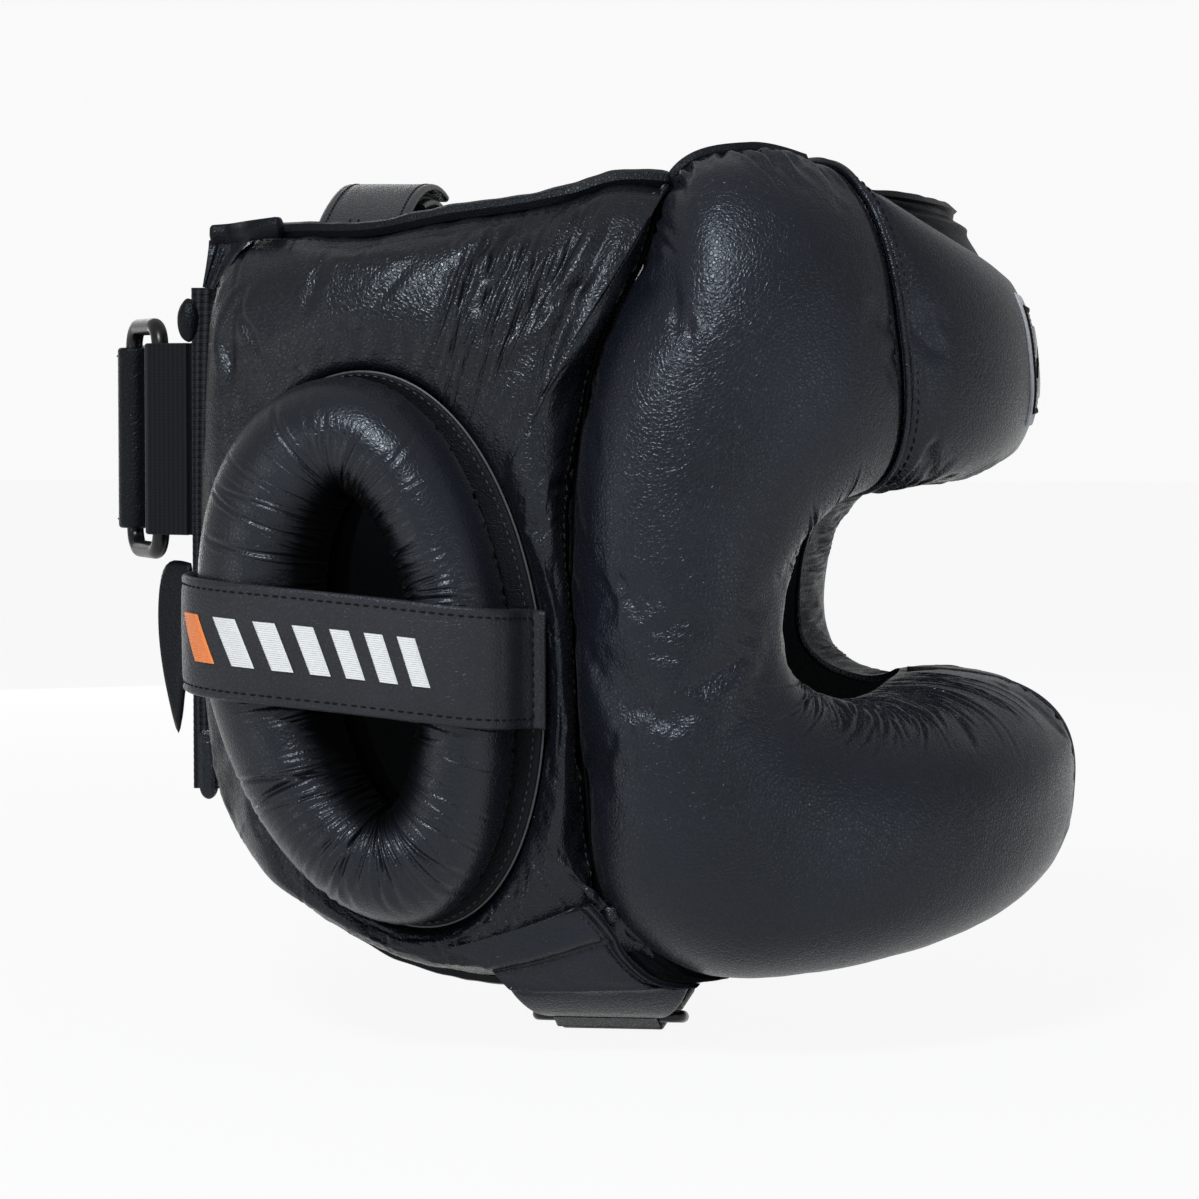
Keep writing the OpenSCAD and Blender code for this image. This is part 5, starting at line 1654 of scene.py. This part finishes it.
print("laid on:", ", ".join(o.name for o in jaws))

# %% [markdown]
# ## The badge
# A plain embroidered patch on the forehead: satin-stitched field and border with a chevron, and nothing
# that can be read.

# %% Badge
BADGE_W, BADGE_H, BADGE_T = 44, 40, 1.2
FOREHEAD_REACH = 75
badge_half = np.degrees(BADGE_W / 2 / (head_radius(0.0) + FOREHEAD_THICK))


def badge_place(r, across, lift):
    """Across the brow along r, up the patch across, on the forehead pad's face."""
    st = forehead_station(mix(badge_half, -badge_half, r) / FOREHEAD_END)
    v = 0.5 + across / FOREHEAD_REACH
    high = FOREHEAD_THICK * (1 - np.abs(2 * v - 1) ** PAD_ROUND) ** (1 / PAD_ROUND)
    return on_station(st, v, high + 0.3 + BADGE_T / 2 + lift)


badge = strap("badge_patch", badge_place, BADGE_H, BADGE_T, 110, 90, thread_grey,
              lambda r, a: 0.05 * np.sin(r * BADGE_W * 2 * np.pi / 0.8),
              lambda r: np.clip(0.86 + 4 * np.minimum(r, 1 - r), 0, 1))


def badge_line(start, end):
    """A satin cord from one place of the badge to another, each a share across and a height in mm."""
    def path(r):
        share, high = mix(start[0], end[0], r), mix(start[1], end[1], r)
        return badge_place(share, high, BADGE_T / 2 + 0.1 + 0 * r)
    return path


CORNERS = [(0.07, -15.5), (0.93, -15.5), (0.93, 15.5), (0.07, 15.5)]
LINES = [(CORNERS[k], CORNERS[(k + 1) % 4], thread) for k in range(4)]
CHEVRON_RISE, CHEVRONS = 9, ((-11, thread_white), (-5, thread), (1, thread_white))
LINES += [((0.2, y), (0.5, y + CHEVRON_RISE), mat) for y, mat in CHEVRONS]
LINES += [((0.5, y + CHEVRON_RISE), (0.8, y), mat) for y, mat in CHEVRONS]
badge_cords = [strap(f"badge_cord_{k}", framed(badge_line(start, end)), 2.0, 1.0, 60, 10, mat, satin)
               for k, (start, end, mat) in enumerate(LINES)]
print("badge has", len(badge_cords), "sewn lines")

# %% [markdown]
# ## Stitches
# Each stitch is a small bead of thread pulled into the leather, so it sits a little below the surface
# between two seen ends. A line is walked at an even pace, and each bead is set on the nearest place of
# the finished surface and turned along the line.

# %% Stitches
STITCH_THICK = 0.62


def sewn(name, lines, tree, mat, pitch=2.7, long=2.0):
    """Beads of thread along lines in millimetres, one object for all of them."""
    rng = np.random.default_rng(1)
    bm = bmesh.new()
    for path in lines:
        spots = path(np.linspace(0, 1, 240))
        run = run_along(spots)
        count = max(2, int(run[-1] / pitch))
        marks = (np.arange(count) + 0.5 + 0.05 * rng.normal(size=count)) / count * run[-1]
        at = [np.stack([np.interp(marks + step, run, spots[:, k]) for k in range(3)], -1) * MM
              for step in (0, 0.5)]
        for here, ahead in zip(*at):
            place, normal, _, _ = tree.find_nearest(Vector(here))
            way = Vector(ahead - here)
            way = (way - normal * way.dot(normal)).normalized()
            side = normal.cross(way)
            size = [long * MM / 2, STITCH_THICK * MM / 2, STITCH_THICK * MM / 2]
            columns = [way * size[0], side * size[1], normal * size[2], place + normal * 0.06 * MM]
            frame_at = Matrix([[*(column[k] for column in columns)] for k in range(3)] + [[0, 0, 0, 1]])
            bmesh.ops.create_uvsphere(bm, u_segments=6, v_segments=5, radius=1, matrix=frame_at)
    return to_object(name, bm, mat)


def section_line(station, turns, offset):
    """A row beside a seam that crosses a pad, that many millimetres of angle to one side."""
    def path(r):
        v, h = lobe(turns(mix(0.05, 0.95, r)))
        shifted = np.array(station, float) + 0 * r[..., None]
        turn = np.degrees(offset / (head_radius(shifted[..., 0]) + station[4] * 0.8 * h))
        shifted[..., 0] += turn
        shifted[..., 2] += turn
        return on_station(shifted, v, station[4] * h)
    return path


def band_line(across):
    return lambda r: band_place(0.04 + 0.92 * r, across + 0 * r, BAND_T / 2 + 0 * r)


def band_cross(mm):
    return lambda r: band_place(mm / BAND_LENGTH + 0 * r, (r - 0.5) * (BAND_W - 5), BAND_T / 2 + 0 * r)


def strap_line(place, across, lift, start=0.03, end=0.97):
    return lambda r: place(mix(start, end, r), across + 0 * r, lift + 0 * r)


def strap_cross(place, at, width, lift):
    return lambda r: place(at + 0 * r, (r - 0.5) * width, lift + 0 * r)


def collar_line(r):
    return flange_place(r, 1.6 + 0 * r, FLANGE_T / 2 + 0 * r)


SEAM_ROW, VALLEY_ROW = 3.1, 3.6


def valley_line(r):
    return ear_skin(*np.moveaxis(valley_flat(r, VALLEY_ROW), -1, 0), 9)


def roll_rim_line(r):
    return on_station(along(ROLL, mix(0.1, SEAM_FROM, r)), 0.985 + 0 * r, 9)


print("a stitch is", STITCH_THICK, "mm thick; rows run", SEAM_ROW, "and", VALLEY_ROW, "mm beside the seams")

# %% [markdown]
# A row beside a seam runs a few millimetres to one side of it, and a row on a strap runs just inside its
# edge. Only the left side is sewn here, and its beads are mirrored to the right.

# %% Rows of stitches
body_tree = surface_tree(roll_left, forehead, panel_left)
sewn_left = [
    sewn("seam_stitches_left", [section_line(TEMPLE_SEAM, pad_turns, SEAM_ROW),
                                section_line(TEMPLE_SEAM, pad_turns, -SEAM_ROW),
                                section_line(BAR_SEAM, roll_turns, SEAM_ROW)], body_tree, thread),
    sewn("valley_stitches_left", [valley_line], body_tree, thread_light),
    sewn("rim_stitches_left", [rim(PANEL_TOP, 0.4, 6.9, -RIM_ROW, 9),
                               rim(PANEL_BOTTOM, 0.3, 7.5, -RIM_ROW, 9), roll_rim_line],
         body_tree, thread),
    sewn("band_stitches_left", [band_line(k * (BAND_W / 2 - STITCH_IN)) for k in (-1, 1)]
         + [band_cross(mm) for mm in (BAND_ROW, BAND_LENGTH - BAND_ROW, BAND_LENGTH - 3.4)],
         surface_tree(band_left), thread),
    sewn("collar_stitches_left", [collar_line], surface_tree(flange_left), thread_brown, 2.5, 1.7),
    sewn("flap_stitches_left", [strap_line(flap_place, k * (FLAP_W / 2 - STITCH_IN), THIN / 2)
                                for k in (-1, 1)], surface_tree(flap_left), thread),
]
stitches = sewn_left + [mirrored(o, o.name.replace("left", "right")) for o in sewn_left]
tail_place, run_place = plan_place(tail_path, CLOSURE), plan_place(smooth_path(RUN), CLOSURE)
tail_tree = surface_tree(rear_tail)
tail_stitches = sewn("tail_stitches", [strap_line(tail_place, k * 24.5, -TAIL_T / 2, 0.42) for k in (-1, 1)]
                     + [strap_cross(tail_place, 0.97, 49, -TAIL_T / 2)], tail_tree, thread)
run_stitches = sewn("strap_stitches",
                    [strap_line(run_place, k * (REAR_STRAP_W / 2 - STITCH_IN), -REAR_STRAP_T / 2)
                     for k in (-1, 1)], surface_tree(rear_run), thread)
crown_stitches = sewn("crown_stitches",
                      [strap_line(crown_place, k * (CROWN_W / 2 - STITCH_IN), THIN / 2, 0.01, 0.9)
                       for k in (-1, 1)]
                      + [strap_line(crown_place, k, THIN / 2, 0.01, 0.16) for k in (-3.5, -1)],
                      surface_tree(crown[0]), thread)
chin_stitches = sewn("chin_stitches",
                     [strap_line(chin_place, k * (CHIN_W / 2 - STITCH_IN), THIN / 2, 0.02, 0.6)
                      for k in (-1, 1)], surface_tree(chin_run), thread)
single = [run_stitches, crown_stitches, chin_stitches]
print("stitch objects:", len(stitches) + len(single) + 1)

# %% [markdown]
# ## Bodies and replaced parts
# Every piece rides on a body, and each pad stands for the solids of its cover and foam.

# %% Ride and replace
SIDES = ("left", "right")
by_name = {o.name: o for o in bpy.data.objects}
stuffing = {f"face_bar_{s}": (f"face_bar_cover_{s}", f"face_bar_foam_{s}") for s in SIDES}
stuffing |= {f"side_panel_{s}": (f"side_cover_{s}", f"side_foam_{s}") for s in SIDES}
stuffing |= {f"ear_ring_{s}": (f"ear_ring_cover_{s}", f"ear_ring_foam_{s}") for s in SIDES}
stuffing["forehead_pad"] = ("forehead_cover", "forehead_foam")
for name, nodes in stuffing.items():
    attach(by_name[name], "shell")
    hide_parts(*nodes)
shell = {"leather_trim": trims + brow + [bar_piping, bar_tape] + flanges + stitches + single,
         "leather_lining": linings,
         "leather_outer": bands + leaves + crown + flaps + jaws + [rear_run, chin_keeper, chin_run],
         "ribbed_webbing": webs + [keeper],
         "embroidered_patch": bars + [badge] + badge_cords}
for slot, pieces in shell.items():
    for piece in pieces:
        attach(piece, "shell")
for piece, body in ((rear_tail, "rear_tail"), (tail_stitches, "rear_tail"), (chin_tail, "chin_tail")):
    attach(piece, body)
stands_for = {"bar_piping": "face_bar_welt", "forehead_inner": "forehead_lining",
              "chin_keeper_loop": "chin_keeper", "chin_strap_run": "chin_strap",
              "chin_strap_end": "chin_strap_tail", "rear_strap_run": "rear_strap",
              "rear_strap_end": "rear_strap_tail", "ring_keeper_elastic": "ring_keeper",
              "badge_patch": "forehead_badge"}
for side in SIDES:
    for piece, node in (("temple_piping", "temple_welt"), ("valley_piping", "cheek_welt"),
                        ("top_lip", "top_binding"), ("neck_lip", "neck_binding"),
                        ("ear_band_strap", "ear_band"), ("roll_lining", "face_bar_lining"),
                        ("panel_lining", "side_lining"), ("leaf", "leaf_tab"),
                        ("crown_band", "crown_strap"), ("jaw_flap", "chin_flap"),
                        ("rear_web", "rear_webbing")):
        stands_for[f"{piece}_{side}"] = f"{node}_{side}"
for piece, node in stands_for.items():
    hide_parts(node)
for node, mat in (("rear_ring", plastic), ("chin_ring", plastic), ("rear_loop_patch", tape),
                  ("rear_hook_patch", tape), ("crown_loop_patch", tape), ("crown_hook_patch", tape),
                  ("chin_loop_patch", tape), ("chin_hook_patch", tape)):
    by_name[node].data.materials[0] = mat
print(len(stuffing), "padded pieces")

# %% [markdown]
# ## Floor, world and lamps
# The picture is taken in a white tent: white light from nearly everywhere, with one broad lamp above
# and in front that draws the soft highlights on the rolls. Weak ones at the front, the rear and the far
# side light the guard from those sides. The floor and the world show white to the camera and are only part as
# bright in reflections, so black leather gets no glaring rim, and the floor still takes a faint shadow.

# %% Stage
FLOOR_SIZE = 14
FLOOR_GLOSS, WORLD_GLOSS = 0.85, 0.22
AMBIENT, BACKDROP = 0.32, 0.95


def glow(tree, colour, strength):
    lamp = tree.nodes.new("ShaderNodeEmission")
    lamp.inputs["Color"].default_value = (*colour, 1)
    lamp.inputs["Strength"].default_value = strength
    return lamp.outputs[0]


def seen_rays(tree, mirrored_share):
    """1 for what the camera sees, also through glass, and a share of it in glossy reflections."""
    out = tree.nodes.new("ShaderNodeLightPath").outputs
    camera_ray, glossy, through = (Sock(tree, out[f"Is {kind} Ray"])
                                   for kind in ("Camera", "Glossy", "Transmission"))
    return camera_ray.maths("MAXIMUM", through).maths("MAXIMUM", glossy * mirrored_share)


def make_floor():
    bm = bmesh.new()
    bmesh.ops.create_grid(bm, x_segments=1, y_segments=1, size=FLOOR_SIZE / 2)
    obj = to_object("floor", bm, bpy.data.materials.new("pale_floor"))
    mat = obj.data.materials[0]
    mat.use_nodes = True
    tree = mat.node_tree
    surface = tree.nodes["Material Output"].inputs["Surface"]
    matt = tree.nodes["Principled BSDF"]
    matt.inputs["Base Color"].default_value = (0.82, 0.82, 0.82, 1)
    matt.inputs["Roughness"].default_value = 0.9
    blend = tree.nodes.new("ShaderNodeMixShader")
    tree.links.new((seen_rays(tree, FLOOR_GLOSS) * 0.93).socket, blend.inputs[0])
    tree.links.new(matt.outputs[0], blend.inputs[1])
    tree.links.new(glow(tree, (1, 1, 1), 0.985), blend.inputs[2])
    tree.links.new(blend.outputs[0], surface)


def make_world():
    world = bpy.data.worlds.new("tent")
    bpy.context.scene.world = world
    world.use_nodes = True
    tree = world.node_tree
    back = tree.nodes["Background"]
    back.inputs["Color"].default_value = (1, 1, 1, 1)
    strength = AMBIENT + (BACKDROP - AMBIENT) * seen_rays(tree, WORLD_GLOSS)
    tree.links.new(strength.socket, back.inputs["Strength"])


def lamp(name, place, aim, size, power, colour=(1, 1, 1)):
    data = bpy.data.lights.new(name, "AREA")
    data.color = colour
    data.shape = "DISK"
    data.size = size
    data.energy = power
    obj = bpy.data.objects.new(name, data)
    obj.location = place
    obj.rotation_euler = (Vector(aim) - Vector(place)).to_track_quat("-Z", "Y").to_euler()
    bpy.context.collection.objects.link(obj)


make_floor()
make_world()
lamp("key", (-0.19, -1.10, 1.03), (0.05, -0.1, 0.2), 0.4, 15, (0.88, 0.94, 1))
lamp("front", (1.1, -0.95, 0.15), (0.05, 0, 0.12), 0.6, 1.8, (0.85, 0.9, 1))
lamp("rear", (-1.1, -0.9, 0.2), (-0.05, 0, 0.13), 0.6, 1.8)
lamp("left", (-0.55, 1.2, 0.25), (0, 0.1, 0.12), 0.9, 4)
bpy.context.scene.view_settings.view_transform = "Standard"
